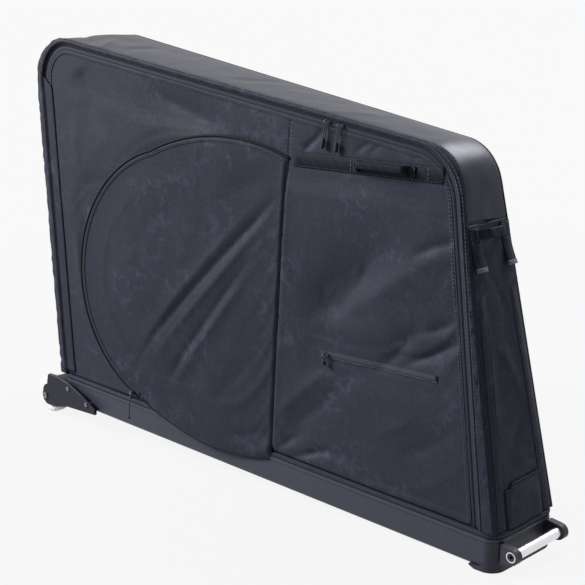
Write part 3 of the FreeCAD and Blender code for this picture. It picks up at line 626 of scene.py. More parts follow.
def stitches(name, line, normals, finish, shift=0.0):
    """A row of sewn stitches lying on the cloth along a line."""
    s = sizes()
    size = (s.stitch, 2 * s.thread_r, 1.6 * s.thread_r)
    return bars(name, line, normals, s.stitch + s.stitch_gap, size, finish, shift)


def webbing_section(widths, inset, edge, foot):
    """Section of webbing with rounded edges: places across it, and heights as shares of its thickness."""
    low, high = widths
    middle = (low + high) / 2
    return [(low, edge), (low + inset, 1), (middle, 1), (high - inset, 1), (high, edge),
            (high - inset, foot), (middle, foot), (low + inset, foot)]


def ribbon(name, line, widths, finish, thick, place):
    """Flat webbing along a line of (along, out) points, between two places across, with rounded edges."""
    section = webbing_section(widths, thick * 0.4, 0.35, 0)
    points = []
    for i, p in enumerate(line):
        along = heading(line, i)
        out = Vector((-along.y, along.x))
        for across, layer in section:
            q = p + out * (thick * layer)
            points.append(TRAY @ place @ Vector((q.x, across, q.y)))
    faces = [f[::-1] for f in ring_faces(len(section), len(line) - 1)]
    return mesh_of(name, points, faces, finish)


def side_at(u, v, w, angle=0.0):
    """Frame on the opening side at side coordinates, turned in the plane of the cloth."""
    c, s = math.cos(angle), math.sin(angle)
    return axes(SIDE_U * c + SIDE_V * s, SIDE_V * c - SIDE_U * s, SIDE_N,
                SIDE_O + SIDE_U * u + SIDE_V * v + SIDE_N * w)


def side_between(start_at, end_at):
    """Frame on the opening side from one point towards another, and their distance."""
    a, b = on_side(*start_at), on_side(*end_at)
    return side_at(a.x, a.y, 0, math.atan2(b.y - a.y, b.x - a.x)), (b - a).length


def surface_of(obj):
    """Function that gives the height of an object's outside at a point of a plane."""
    tree = BVHTree.FromObject(obj, bpy.context.evaluated_depsgraph_get())

    def height(place, x, y):
        matrix = TRAY @ place
        above = matrix @ Vector((x, y, RAY_FROM))
        down = (matrix.to_3x3() @ Vector((0, 0, -1))).normalized()
        hit, _, _, distance = tree.ray_cast(above, down, RAY_REACH)
        return RAY_FROM - distance if hit else 0.0

    return height


def flat(place, x, y):
    """Surface of the plane itself."""
    return 0.0


def strap(name, place, line, widths, surface, thick, finish, lift=None):
    """Webbing laid on a surface along plane points (x, y), its edges rounded; lift raises it along its way."""
    section = webbing_section(widths, thick * 0.5, 0.4, 0.02)
    points = []
    for i, p in enumerate(line):
        along = heading(line, i)
        side = Vector((-along.y, along.x))
        up = lift(i / (len(line) - 1)) if lift else 0.0
        for across, layer in section:
            q = p + side * across
            points.append(TRAY @ place @ Vector((q.x, q.y, surface(place, q.x, q.y) + up + thick * layer)))
    faces = [f[::-1] for f in ring_faces(len(section), len(line) - 1)]
    return mesh_of(name, points, faces, finish)


def straight(a, b, count):
    """Straight line of evenly spaced points."""
    return [Vector(a).lerp(Vector(b), i / count) for i in range(count + 1)]


def sewn(place, line, surface, up, finish="thread", shift=0.0):
    """A row of stitches on a surface along plane points."""
    matrix = TRAY @ place
    out = (matrix.to_3x3() @ Vector((0, 0, 1))).normalized()
    points = [matrix @ Vector((p.x, p.y, surface(place, p.x, p.y) + up)) for p in line]
    return stitches("row", points, [out.copy() for p in line], finish, shift)


def box_stitch(place, x0, x1, y0, y1, surface, up):
    """Sewn box with a cross, as at the foot of a handle."""
    corners = [(x0, y0), (x1, y0), (x1, y1), (x0, y1), (x0, y0), (x1, y1)]
    return [sewn(place, straight(a, b, 8), surface, up) for a, b in zip(corners, corners[1:])]


def bowed(half, out, foot):
    """Line of a bowed grip in (along, out): sewn feet, smooth rise, arched middle."""
    line = []
    for i in range(GRIP_STEPS + 1):
        x = half * (2 * i / GRIP_STEPS - 1)
        rise = eased((half - foot - abs(x)) / (out * 0.85))
        line.append(Vector((x, out * rise * (0.94 + 0.06 * math.cos(x / half * 1.5)))))
    return line


def grip(name, place, half, out, foot, wide, waist, rise, finish):
    """Webbing handle: flat at its sewn feet, folded narrower by a share, thicker and higher in the middle."""
    line = bowed(half, out, foot)
    points = []
    ring = 12
    for i, p in enumerate(line):
        along = heading(line, i)
        outward = Vector((-along.y, along.x))
        body = clamped((half * 0.82 - abs(p.x)) / (half * 0.10))
        thick = 0.0022 + 0.0110 * waist * body
        width = wide * (1 - waist * body)
        for k in range(ring):
            t = 2 * math.pi * k / ring
            across = squared(math.cos(t), 0.5) * width / 2 + rise * body
            q = p + outward * (squared(math.sin(t), 0.6) * thick / 2 + thick / 2)
            points.append(TRAY @ place @ Vector((q.x, across, q.y)))
    return mesh_of(name, points, ring_faces(ring, GRIP_STEPS), finish)


def cord_curve(name, route, place, radius, finish):
    """Smooth cord through a route's control points, as one open spline."""
    curve = bpy.data.curves.new(name, "CURVE")
    curve.dimensions = "3D"
    spline = curve.splines.new("NURBS")
    spline.points.add(len(route) - 1)
    for point, at in zip(spline.points, route):
        point.co = (*(TRAY @ place @ Vector(at)), 1)
    spline.order_u = 3
    spline.use_endpoint_u = True
    spline.resolution_u = 10
    curve.bevel_depth = radius
    curve.bevel_resolution = 3
    curve.use_fill_caps = True
    return new_object(name, curve, finish_of(finish))


def wound(name, place, centre, along, radius, wire, turns, finish):
    """Small wound knot: cord turned round a line."""
    along = Vector(along).normalized()
    a = along.orthogonal().normalized()
    b = along.cross(a)
    line = []
    steps = int(turns * 14)
    for i in range(steps + 1):
        t = 2 * math.pi * turns * i / steps
        shift = along * (wire * 2 * turns * (i / steps - 0.5))
        line.append(TRAY @ place @ (Vector(centre) + shift + (a * math.cos(t) + b * math.sin(t)) * radius))
    return tube(name, line, wire, finish, 6)


def moulded_tip(name, place, top, size, finish):
    """Soft moulded zip tip: flat lozenge with a waist and grip ribs, hanging from its cord."""
    long, wide, thick = size
    points = []
    ring = 14
    rows = 22
    for j in range(rows + 1):
        t = j / rows
        end = math.sqrt(max(0.0, 1 - (2 * t - 1) ** 8)) * 0.96 + 0.04
        rib = 1 - 0.10 * (0.5 - 0.5 * math.cos(2 * math.pi * 5 * t)) * (0.25 < t < 0.95)
        w = wide * (0.72 + 0.28 * math.sin(math.pi * (0.15 + 0.7 * t))) * end / 2
        d = thick * end * rib / 2
        for k in range(ring):
            a = 2 * math.pi * k / ring
            points.append(TRAY @ place @ Vector((squared(math.cos(a), 0.6) * w + top[0], top[1] - long * t,
                                                 top[2] + squared(math.sin(a), 0.6) * d)))
    return mesh_of(name, points, ring_faces(ring, rows), finish)


def front_half(z):
    """Half the front wall's width at a height."""
    x = X_FRONT + FRONT_SLOPE * (z - Z_RIM)
    return half_width(x) - SIDE_LEAN * (z - Z_RIM) - SIDE_T


def on_front(z):
    """Place up the sloping front wall at a height."""
    return (z - Z_RIM) / FRONT_V.z


def ride(obj, body, slot, *nodes):
    """Sets a piece on a body and hides the plain solids that it stands for; the slot, which would name its
    finish, is not used.
    """
    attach(obj, body)
    if nodes:
        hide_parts(*nodes)
    return obj


# Materials


def feed(node, inputs):
    """Sets each input of a node to a value, or links it to the socket that feeds it."""
    for name, value in inputs.items():
        if isinstance(value, bpy.types.NodeSocket):
            node.id_data.links.new(value, node.inputs[name])
        else:
            node.inputs[name].default_value = value


def add(tree, kind, inputs=None, tones=(), **settings):
    """Adds a node with its settings and inputs; tones are a ramp's colours."""
    node = tree.nodes.new(kind)
    for key, value in settings.items():
        setattr(node, key, value)
    for stop, tone in enumerate(tones):
        node.color_ramp.elements[stop].color = tone
    feed(node, inputs or {})
    return node


def start(name):
    """New material with its tree, surface shader and object coordinates."""
    material = bpy.data.materials.new(name)
    material.use_nodes = True
    tree = material.node_tree
    shader = tree.nodes["Principled BSDF"]
    place = add(tree, "ShaderNodeTexCoord")
    return material, tree, shader, place.outputs["Object"]


def per_metre(millimetres):
    """Noise texture scale at which a feature has this size."""
    return 1000 / millimetres


def wave_scale(millimetres):
    """Wave texture scale at which a radian of a wave has this length along an axis, twice that on a diagonal."""
    return per_metre(millimetres) / 20


def shaded(base, share):
    """A colour made darker or paler by a share."""
    return [c * share for c in base[:3]] + [1]


def woven_polyester():
    """Plain-woven polyester with a thin backing: matt, a faint grain that catches light, and irregular paler
    flecks in loose clusters. Its threads are 0.5 mm, but the waves of the weave are drawn 14 mm long."""
    material, tree, shader, place = start("Woven polyester")
    base = colours().cloth
    flecks = add(tree, "ShaderNodeTexNoise", {"Vector": place, "Scale": per_metre(26), "Detail": 5,
                                              "Roughness": 0.7, "Distortion": 0.6})
    clusters = add(tree, "ShaderNodeTexNoise", {"Vector": place, "Scale": per_metre(150), "Detail": 2})
    hard = add(tree, "ShaderNodeMapRange", {"Value": flecks.outputs["Fac"], "From Min": 0.50, "From Max": 0.66})
    loose = add(tree, "ShaderNodeMapRange", {"Value": clusters.outputs["Fac"], "From Min": 0.44,
                                             "From Max": 0.62, "To Min": 0.06, "To Max": 0.60})
    both = add(tree, "ShaderNodeMath", {0: hard.outputs["Result"], 1: loose.outputs["Result"]},
               operation="MULTIPLY")
    drift = add(tree, "ShaderNodeTexNoise", {"Vector": place, "Scale": per_metre(9), "Detail": 3,
                                             "Roughness": 0.6})
    ramp = add(tree, "ShaderNodeValToRGB", {"Fac": drift.outputs["Fac"]},
               (shaded(base, 0.88), shaded(base, 1.10)))
    ramp.color_ramp.elements[0].position = 0.3
    ramp.color_ramp.elements[1].position = 0.7
    tone = add(tree, "ShaderNodeMix", {"Factor": both.outputs[0], "A": ramp.outputs["Color"],
                                       "B": colours().cloth_mottle}, data_type="RGBA")
    warp, weft = (add(tree, "ShaderNodeTexWave", {"Vector": place, "Scale": wave_scale(2.2), "Distortion": 0.6,
                                                  "Detail": 1}, bands_direction=way) for way in "XZ")
    weave = add(tree, "ShaderNodeMath", {0: warp.outputs["Fac"], 1: weft.outputs["Fac"]}, operation="MULTIPLY")
    bump = add(tree, "ShaderNodeBump", {"Height": weave.outputs[0], "Strength": 0.22, "Distance": 0.0006})
    soft = add(tree, "ShaderNodeBump", {"Height": drift.outputs["Fac"], "Strength": 0.25, "Distance": 0.0016,
                                        "Normal": bump.outputs["Normal"]})
    feed(shader, {"Base Color": tone.outputs["Result"], "Normal": soft.outputs["Normal"], "Roughness": 0.58,
                  "Specular IOR Level": 0.09})
    return material


def coated_polyester():
    """Polyester with a smooth coating on the outside: darker, satin, with a broad soft highlight and a
    slight leathery grain of about 3 mm."""
    material, tree, shader, place = start("Coated polyester")
    base = colours().coated
    cloud = add(tree, "ShaderNodeTexNoise", {"Vector": place, "Scale": per_metre(70), "Detail": 4,
                                             "Roughness": 0.6})
    ramp = add(tree, "ShaderNodeValToRGB", {"Fac": cloud.outputs["Fac"]},
               (shaded(base, 0.9), shaded(base, 1.15)))
    grain = add(tree, "ShaderNodeTexNoise", {"Vector": place, "Scale": per_metre(3), "Detail": 3})
    bump = add(tree, "ShaderNodeBump", {"Height": grain.outputs["Fac"], "Strength": 0.15, "Distance": 0.0005})
    feed(shader, {"Base Color": ramp.outputs["Color"], "Normal": bump.outputs["Normal"], "Roughness": 0.40,
                  "Specular IOR Level": 0.26, "Specular Tint": linear("#dfe4ff")})
    return material


def woven_webbing(name, base):
    """Woven webbing: ribbed, with a dull sheen, its valleys painted darker as shade. Its ribs are 2 mm
    apart, but the waves across it are drawn 25 mm long."""
    material, tree, shader, place = start(name)
    ribs = add(tree, "ShaderNodeTexWave", {"Vector": place, "Scale": wave_scale(2), "Distortion": 0.4,
                                           "Detail": 1}, bands_direction="DIAGONAL")
    # painted shade: the ramp makes the valleys between the ribs darker
    ramp = add(tree, "ShaderNodeValToRGB", {"Fac": ribs.outputs["Fac"]}, (shaded(base, 0.75), base))
    bump = add(tree, "ShaderNodeBump", {"Height": ribs.outputs["Fac"], "Strength": 0.35, "Distance": 0.0005})
    feed(shader, {"Base Color": ramp.outputs["Color"], "Normal": bump.outputs["Normal"], "Roughness": 0.62,
                  "Specular IOR Level": 0.06})
    return material


def zip_polyester(name, base):
    """Polyester zip tape and piping: fine dense weave of 1.5 mm, nearly black, dull."""
    material, tree, shader, place = start(name)
    weave = add(tree, "ShaderNodeTexNoise", {"Vector": place, "Scale": per_metre(1.5), "Detail": 2})
    ramp = add(tree, "ShaderNodeValToRGB", {"Fac": weave.outputs["Fac"]}, (shaded(base, 0.7), base))
    bump = add(tree, "ShaderNodeBump", {"Height": weave.outputs["Fac"], "Strength": 0.3, "Distance": 0.0004})
    feed(shader, {"Base Color": ramp.outputs["Color"], "Normal": bump.outputs["Normal"], "Roughness": 0.7,
                  "Specular IOR Level": 0.12})
    return material


def sewing_thread(name, base):
    """Bonded polyester thread: twisted, slightly glossy. Its waves are drawn 19 mm long, so that its tone drifts
    from stitch to stitch and its twist doesn't show."""
    material, tree, shader, place = start(name)
    twist = add(tree, "ShaderNodeTexWave", {"Vector": place, "Scale": wave_scale(1.5)},
                bands_direction="DIAGONAL")
    ramp = add(tree, "ShaderNodeValToRGB", {"Fac": twist.outputs["Fac"]}, (shaded(base, 0.6), base))
    feed(shader, {"Base Color": ramp.outputs["Color"], "Roughness": 0.5})
    return material


def braided_cord():
    """Braided polyester cord: crossing strands, dull, nearly black. Its strands are 1 mm, but their crossing
    waves are drawn 15 mm long."""
    material, tree, shader, place = start("Braided cord")
    turned = add(tree, "ShaderNodeMapping", {"Vector": place, "Scale": (1, -1, -1)})
    one, two = (add(tree, "ShaderNodeTexWave", {"Vector": way, "Scale": wave_scale(1.2)},
                    bands_direction="DIAGONAL") for way in (place, turned.outputs["Vector"]))
    braid = add(tree, "ShaderNodeMath", {0: one.outputs["Fac"], 1: two.outputs["Fac"]}, operation="MULTIPLY")
    ramp = add(tree, "ShaderNodeValToRGB", {"Fac": braid.outputs[0]}, (linear("#15161a"), linear("#3a3b43")))
    bump = add(tree, "ShaderNodeBump", {"Height": braid.outputs[0], "Strength": 0.4, "Distance": 0.0004})
    feed(shader, {"Base Color": ramp.outputs["Color"], "Normal": bump.outputs["Normal"], "Roughness": 0.65})
    return material


def zip_coil():
    """Nylon zip coil: moulded, black, satin, each turn catching a point of light."""
    material, tree, shader, place = start("Nylon coil")
    tone_mask = add(tree, "ShaderNodeTexNoise", {"Vector": place, "Scale": per_metre(8), "Detail": 2})
    ramp = add(tree, "ShaderNodeValToRGB", {"Fac": tone_mask.outputs["Fac"]}, (linear("#2a2c36"), linear("#3d404c")))
    feed(shader, {"Base Color": ramp.outputs["Color"], "Roughness": 0.35})
    return material


def moulded(name, base, grain_mm, roughness, depth, shine=0.25):
    """Moulded plastic or rubber: a spark-eroded grain, satin, slight colour drift, sharp edges painted paler as a
    highlight.
    """
    material, tree, shader, place = start(name)
    grain = add(tree, "ShaderNodeTexNoise", {"Vector": place, "Scale": per_metre(grain_mm), "Detail": 3})
    drift = add(tree, "ShaderNodeTexNoise", {"Vector": place, "Scale": per_metre(120), "Detail": 3})
    edge = add(tree, "ShaderNodeNewGeometry")
    ramp = add(tree, "ShaderNodeValToRGB", {"Fac": drift.outputs["Fac"]},
               (shaded(base, 0.88), shaded(base, 1.12)))
    # painted highlight: sharp convex edges, found by pointiness, are mixed towards a paler colour
    tone_mask = add(tree, "ShaderNodeMapRange", {"Value": edge.outputs["Pointiness"], "From Min": 0.52,
                                            "From Max": 0.62, "To Max": 0.35})
    pale = add(tree, "ShaderNodeMix", {"Factor": tone_mask.outputs["Result"], "A": ramp.outputs["Color"],
                                       "B": [min(1, c) for c in shaded(base, 1.9)]}, data_type="RGBA")
    bump = add(tree, "ShaderNodeBump", {"Height": grain.outputs["Fac"], "Strength": 0.2, "Distance": depth})
    feed(shader, {"Base Color": pale.outputs["Result"], "Normal": bump.outputs["Normal"],
                  "Roughness": roughness, "IOR": 1.5, "Specular IOR Level": shine})
    return material


def roller_urethane():
    """Cast polyurethane roller: milky, lets light in, soft gloss, faint scuffs round the tread."""
    material, tree, shader, place = start("Cast polyurethane")
    base = colours().roller
    scuff = add(tree, "ShaderNodeTexNoise", {"Vector": place, "Scale": per_metre(12), "Detail": 4})
    ramp = add(tree, "ShaderNodeValToRGB", {"Fac": scuff.outputs["Fac"]}, (shaded(base, 0.86), base))
    feed(shader, {"Base Color": ramp.outputs["Color"], "Roughness": 0.32, "Subsurface Weight": 0.4,
                  "Subsurface Radius": (0.01, 0.01, 0.01), "IOR": 1.49})
    return material


def metal(name, base, roughness, grain_mm):
    """Drawn, turned or plated metal: fine lines along the work, satin reflections."""
    material, tree, shader, place = start(name)
    stretched = add(tree, "ShaderNodeMapping", {"Vector": place, "Scale": (1, 0.04, 1)})
    lines = add(tree, "ShaderNodeTexNoise", {"Vector": stretched.outputs["Vector"],
                                             "Scale": per_metre(grain_mm), "Detail": 2})
    rough = add(tree, "ShaderNodeMapRange", {"Value": lines.outputs["Fac"], "To Min": roughness - 0.06,
                                             "To Max": roughness + 0.08})
    bump = add(tree, "ShaderNodeBump", {"Height": lines.outputs["Fac"], "Strength": 0.06, "Distance": 0.0003})
    feed(shader, {"Base Color": base, "Metallic": 1.0, "Roughness": rough.outputs["Result"],
                  "Normal": bump.outputs["Normal"]})
    return material


def seen_directly(tree):
    """One for rays that show the background itself: the camera's, those in gloss and those through glass."""
    path = add(tree, "ShaderNodeLightPath")
    seen = path.outputs["Is Camera Ray"]
    for kind in ("Is Glossy Ray", "Is Transmission Ray"):
        seen = add(tree, "ShaderNodeMath", {0: seen, 1: path.outputs[kind]}, operation="MAXIMUM").outputs[0]
    return seen


def studio_paper():
    """Pale matt background paper: shows as it is lit near the object, so that it keeps the shadow, and fades to
    an even pale tone further off."""
    material, tree, shader, place = start("Studio paper")
    feed(shader, {"Base Color": colours().floor, "Roughness": 0.8})
    glow = add(tree, "ShaderNodeEmission", {"Color": linear("#f9f9f9"), "Strength": 1.0})
    away = add(tree, "ShaderNodeVectorMath", {0: place}, operation="LENGTH")
    fade = add(tree, "ShaderNodeMapRange", {"Value": away.outputs["Value"], "From Min": 0.6, "From Max": 3.0,
                                            "To Min": 0.94, "To Max": 1.0}, interpolation_type="SMOOTHSTEP")
    share = add(tree, "ShaderNodeMath", {0: seen_directly(tree), 1: fade.outputs["Result"]}, operation="MULTIPLY")
    both = add(tree, "ShaderNodeMixShader", {"Fac": share.outputs[0], 1: shader.outputs[0], 2: glow.outputs[0]})
    feed(tree.nodes["Material Output"], {"Surface": both.outputs[0]})
    return material


FINISHES = {}


def finish_of(name):
    """Materials by plain name, each made once."""
    if name not in FINISHES:
        c = colours()
        FINISHES[name] = {
            "cloth": woven_polyester, "coated": coated_polyester,
            "webbing": lambda: woven_webbing("Polypropylene webbing", c.webbing),
            # the same webbing, its colour painted paler to make up for the front wall's shade
            "front_webbing_painted_paler": lambda: woven_webbing("Webbing painted paler for the front", c.front_webbing_painted_paler),
            "tape": lambda: zip_polyester("Zip tape polyester", c.tape),
            "piping": lambda: zip_polyester("Cord piping", c.piping),
            "pale_tape": lambda: zip_polyester("Coated zip tape", c.pale_tape),
            "thread": lambda: sewing_thread("Bonded thread", c.thread),
            "pale_thread": lambda: sewing_thread("Bar tack thread", c.pale_thread),
            "coil": zip_coil, "roller": roller_urethane,
            "tray": lambda: moulded("Moulded polyethylene", c.tray, 1.6, 0.45, 0.0005),
            "black": lambda: moulded("Moulded nylon", c.black, 1.2, 0.48, 0.0004),
            # the mouldings' nylon, painted darker where the key lamp falls on the housings
            "housing_painted_darker": lambda: moulded("Moulded nylon, painted darker", c.housing_painted_darker, 1.2, 0.48, 0.0004, 0.12),
            "rubber": lambda: moulded("Soft rubber", linear("#1d1e23"), 1.0, 0.65, 0.0003),
            "bright": lambda: metal("Anodised aluminium", c.metal, 0.26, 1.2),
            "steel": lambda: metal("Zinc-plated steel", linear("#8e9095"), 0.34, 0.8),
            "tip": lambda: moulded("Cut webbing tip", linear("#55565f"), 1.0, 0.6, 0.0003),
            "cord": braided_cord, "paper": studio_paper,
            "slider": lambda: metal("Nickel-plated zinc", linear("#6f7179"), 0.36, 0.6),
        }[name]()
    return FINISHES[name]


def paint(name, *nodes):
    """Gives solids of the frame their finish."""
    for node in nodes:
        slots = frame["nodes"][node].data.materials
        slots.clear()
        slots.append(finish_of(name))


# Shape of the cloth


def smooth(points, steps=4):
    """Flowing line through points."""
    ends = [points[0] * 2 - points[1]] + list(points) + [points[-1] * 2 - points[-2]]
    line = []
    for a, b, c, d in zip(ends, ends[1:], ends[2:], ends[3:]):
        for i in range(steps):
            t = i / steps
            line.append((b * 2 + (c - a) * t + (a * 2 - b * 5 + c * 4 - d) * t * t
                         + (b * 3 - a - c * 3 + d) * t ** 3) / 2)
    line.append(points[-1])
    return line


def fold(points, depth, width, fade=(0.35, 0.35), place=None):
    """A fold along points of a plane: its line, a circle round it, its depth, width and how its ends fade."""
    line = smooth([place(*p) if place else Vector(p) for p in points])
    middle = (line[0] + line[-1]) / 2
    reach = max((p - middle).length for p in line) + 5 * width
    return line, middle, reach, depth, width, fade


def fold_height(p, one):
    """Height of a fold at a plane point: a crisp crest or valley that dies away to its sides and ends."""
    line, middle, reach, depth, width, fade = one
    if (p - middle).length > reach:
        return 0.0
    best, at, gone = reach, 0.0, 0.0
    for a, b in zip(line, line[1:]):
        run = b - a
        span = run.length
        t = clamped((p - a).dot(run) / (span * span))
        off = (p - a - run * t).length
        if off < best:
            best, at = off, gone + t * span
        gone += span
    share = at / gone
    ends = min(1.0, share / fade[0] if fade[0] else 1.0, (1 - share) / fade[1] if fade[1] else 1.0)
    crest = 0.3 * width
    return depth * ends * math.exp(-(math.hypot(best, crest) - crest) / width)


def ruffle(p, size, seed):
    """Gentle uneven swell of cloth, about one size across."""
    return noise.fractal(Vector((p.x / size, p.y / size, seed)), 0.9, 2.1, 3)


def pinned(i, j, power=0.55):
    """One in the middle of a piece, zero along its edges."""
    return (max(0, 16 * i * (1 - i) * j * (1 - j))) ** power


def four_corners(front, front_slope, rear, top_drop, inset, low):
    """Corners of an outline inside the case: rear low, front low, front top, rear top."""
    front = front - inset * math.hypot(1, front_slope)
    rear = rear + inset * math.hypot(1, REAR_SLOPE)
    top = TOP_AT_FRONT - (top_drop + inset) * math.hypot(1, TOP_SLOPE)
    x_top_front = X_FRONT + FRONT_SLOPE * (TOP_AT_FRONT - Z_RIM)

    def under_top(x, slope):
        z = (top + TOP_SLOPE * (x_top_front - x + slope * Z_RIM)) / (1 + TOP_SLOPE * slope)
        return (x + slope * (z - Z_RIM), z)

    return [(rear + REAR_SLOPE * (low - Z_RIM), low), (front + front_slope * (low - Z_RIM), low),
            under_top(front, front_slope), under_top(rear, REAR_SLOPE)]


def case_line(inset, low=Z_CLOTH):
    """The case's outline from the front foot over the top to the rear foot, in x and z."""
    rear_low, front_low, front_top, rear_top = four_corners(X_FRONT, FRONT_SLOPE, X_REAR, 0, inset, low)
    r = TOP_CORNER_R - inset
    return rounded([Vector(p) for p in (front_low, front_top, rear_top, rear_low)], [r, r])


def zip_corners(inset, low=Z_CLOTH):
    """Corners of the main zip's line on the side, before rounding."""
    corners = four_corners(X_FRONT - BORDER_FOOT, ZIP_SLOPE, X_REAR + BORDER_REAR, BORDER_TOP, inset, low)
    return [on_side(*c) for c in corners]


def zip_line(inset, low=Z_CLOTH):
    """The main zip's line from the front foot over the top to the rear foot, on the side."""
    rear_low, front_low, front_top, rear_top = zip_corners(inset, low)
    return rounded([front_low, front_top, rear_top, rear_low],
                   [ZIP_CORNER_R - inset, TOP_CORNER_R - BORDER_TOP - inset])


def in_place(line, place, up=0.0):
    """Plane points where the case stands, and the direction out of the plane at each."""
    matrix = TRAY @ place
    out = (matrix.to_3x3() @ Vector((0, 0, 1))).normalized()
    return [matrix @ Vector((p.x, p.y, up)) for p in line], [out.copy() for p in line]


def simulate(obj, pins, swell, steps=18):
    """Lets cloth settle: the pinned points hold, air pushes it out, slack lets it fold, and a soft cap limits
    each point's move."""
    before = [v.co.copy() for v in obj.data.vertices]
    group = obj.vertex_groups.new(name="Held")
    group.add(pins, 1.0, "REPLACE")
    cloth = obj.modifiers.new("Cloth", "CLOTH")
    s = cloth.settings
    s.quality = 6
    s.mass = 0.25
    s.tension_stiffness = 18
    s.compression_stiffness = 12
    s.shear_stiffness = 6
    s.bending_stiffness = 4
    s.vertex_group_mass = "Held"
    s.shrink_min = -SLACK
    s.use_pressure = True
    s.uniform_pressure_force = swell
    cloth.collision_settings.use_collision = False
    scene = bpy.context.scene
    for step in range(1, steps + 1):
        scene.frame_set(step)
    graph = bpy.context.evaluated_depsgraph_get()
    after = obj.evaluated_get(graph).data
    moved = [v.co.copy() for v in after.vertices]
    obj.modifiers.clear()
    obj.vertex_groups.clear()
    scene.frame_set(1)
    for vertex, a, b in zip(obj.data.vertices, before, moved):
        step = b - a
        vertex.co = a + step * (MOVE_CAP / (MOVE_CAP + step.length))
    obj.data.update()


def border_indices(across, up):
    """Indices of a grid's edge points."""
    width = across + 1
    low = list(range(width))
    high = list(range(up * width, (up + 1) * width))
    sides = [j * width + k for j in range(1, up) for k in (0, across)]
    return low + high + sides


def pairs(*names):
    """The near and the far one of each."""
    return [name + tag for name in names for tag in ("_near", "_far")]


class CASE_OT_mouldings(bpy.types.Operator):
    """Finish the tray, bumper, lugs, housings and metal"""
    bl_idname = "case.mouldings"
    bl_label = "Mouldings and Metal"

    def execute(self, context):
        paint("tray", "base_tray")
        paint("black", "front_bumper", "hub_guard", "wheel_buckle", "base_board",
              *pairs("tube_lug", "tube_plug", "roller_hub"))
        paint("housing_painted_darker", *pairs("roller_housing"))
        paint("roller", *pairs("roller_tyre"))
        paint("bright", "pull_tube", *pairs("front_stay", "rear_stay"))
        paint("steel", *pairs("roller_axle", "housing_screws"))
        paint("slider", "zip_slider_a", "zip_slider_b", "small_slider", "pocket_slider")
        return {"FINISHED"}


def band_line():
    """The cloth band's outline in even steps."""
    return spaced(case_line(0), BAND_STEPS)


def band_piece(name, low_share, high_share, finish, steps, seed, swell, folds):
    """Part of the cloth band over front, top and rear, between two shares of its outline."""
    line = spaced(band_line()[round(low_share * BAND_STEPS):round(high_share * BAND_STEPS) + 1], steps)
    step = line_length(line) / steps
    across = 28
    points = []
    for j, p in enumerate(line):
        along = heading(line, j)
        out = Vector((along.y, -along.x))
        half = half_width(p.x) - SIDE_LEAN * (p.y - Z_RIM) - 0.0005
        for i in range(across + 1):
            u = i / across
            y = half * (2 * u - 1)
            at = Vector((y, j * step))
            lift = swell * pinned(u, 0.5, 0.5) * min(1, 8 * min(j, steps - j) / steps + 0.25)
            lift += swell * 0.5 * ruffle(at, 0.11, seed) * pinned(u, 0.5)
            lift += sum(fold_height(at, one) for one in folds) * pinned(u, 0.5, 0.25)
            points.append(TRAY @ Vector((p.x + out.x * lift, y, p.y + out.y * lift)))
    obj = mesh_of(name, points, grid_faces(across, steps), finish)
    thicken(obj, BAND_T)
    return obj


def share_at(z, front):
    """Share of the band's outline at which the front or rear wall is at a height."""
    line = band_line()
    for i in range(BAND_STEPS + 1) if front else range(BAND_STEPS, -1, -1):
        if line[i].y >= z:
            return i / BAND_STEPS
    raise ValueError("no such height on the band")


def to_far_side(obj):
    """Mirrors a mesh from the opening side to the far side."""
    obj.data.transform(TRAY @ MIRROR @ TRAY.inverted())
    obj.data.flip_normals()


class CASE_OT_shell(bpy.types.Operator):
    """Cloth band over front, top and rear, the far wall and the edge piping"""
    bl_idname = "case.shell"
    bl_label = "Cloth Shell"

    def execute(self, context):
        front_top = share_at(Z_FRONT_SEAM, True)
        rear_top = share_at(Z_REAR_SEAM, False)
        for tag, low, high, finish, steps, seed, swell, folds in (
                ("front", 0, front_top, "cloth", 110, 1.0, 0.004, FRONT_FOLDS),
                ("top", front_top, rear_top, "coated", 190, 2.0, 0.004, TOP_FOLDS),
                ("rear", rear_top, 1, "cloth", 90, 3.0, 0.005, REAR_FOLDS)):
            lines = [fold(*one) for one in folds]
            piece = band_piece(tag + "_cloth", low, high, finish, steps, seed, swell, lines)
            ride(piece, "case", "coated_cloth" if finish == "coated" else "woven_cloth", tag + "_wall")
        self.far_wall()
        for tag, mirror in (("near", Matrix.Identity(4)), ("far", MIRROR)):
            edge = [TRAY @ mirror @ near_point(p.x, p.y) for p in spaced(case_line(0.001), 320)]
            ride(tube("edge_piping_" + tag, edge, sizes().piping_r, "tape"), "case", "zip_tape")
        return {"FINISHED"}

    def far_wall(self):
        """Far wall of the case, slack cloth in its outline."""
        rear_low, front_low, front_top, rear_top = [on_side(*c) for c in four_corners(
            X_FRONT, FRONT_SLOPE, X_REAR, 0, 0.0008, Z_CLOTH)]
        line = rounded([front_low, front_top, rear_top, rear_low], [TOP_CORNER_R, TOP_CORNER_R], 16)
        right, top, left = outline_edges(line, 9)
        rows = patch([rear_low, front_low], top, left, right, 90, 56)

        def height(p, i, j):
            return pinned(i, j) * (sizes().panel_swell + 0.004 * ruffle(p, 0.22, 7.0))

        obj = sheet_mesh("far_cloth", rows, SIDE, height, "cloth")
        to_far_side(obj)
        thicken(obj, WALL_T)
        ride(obj, "case", "woven_cloth", "far_side")


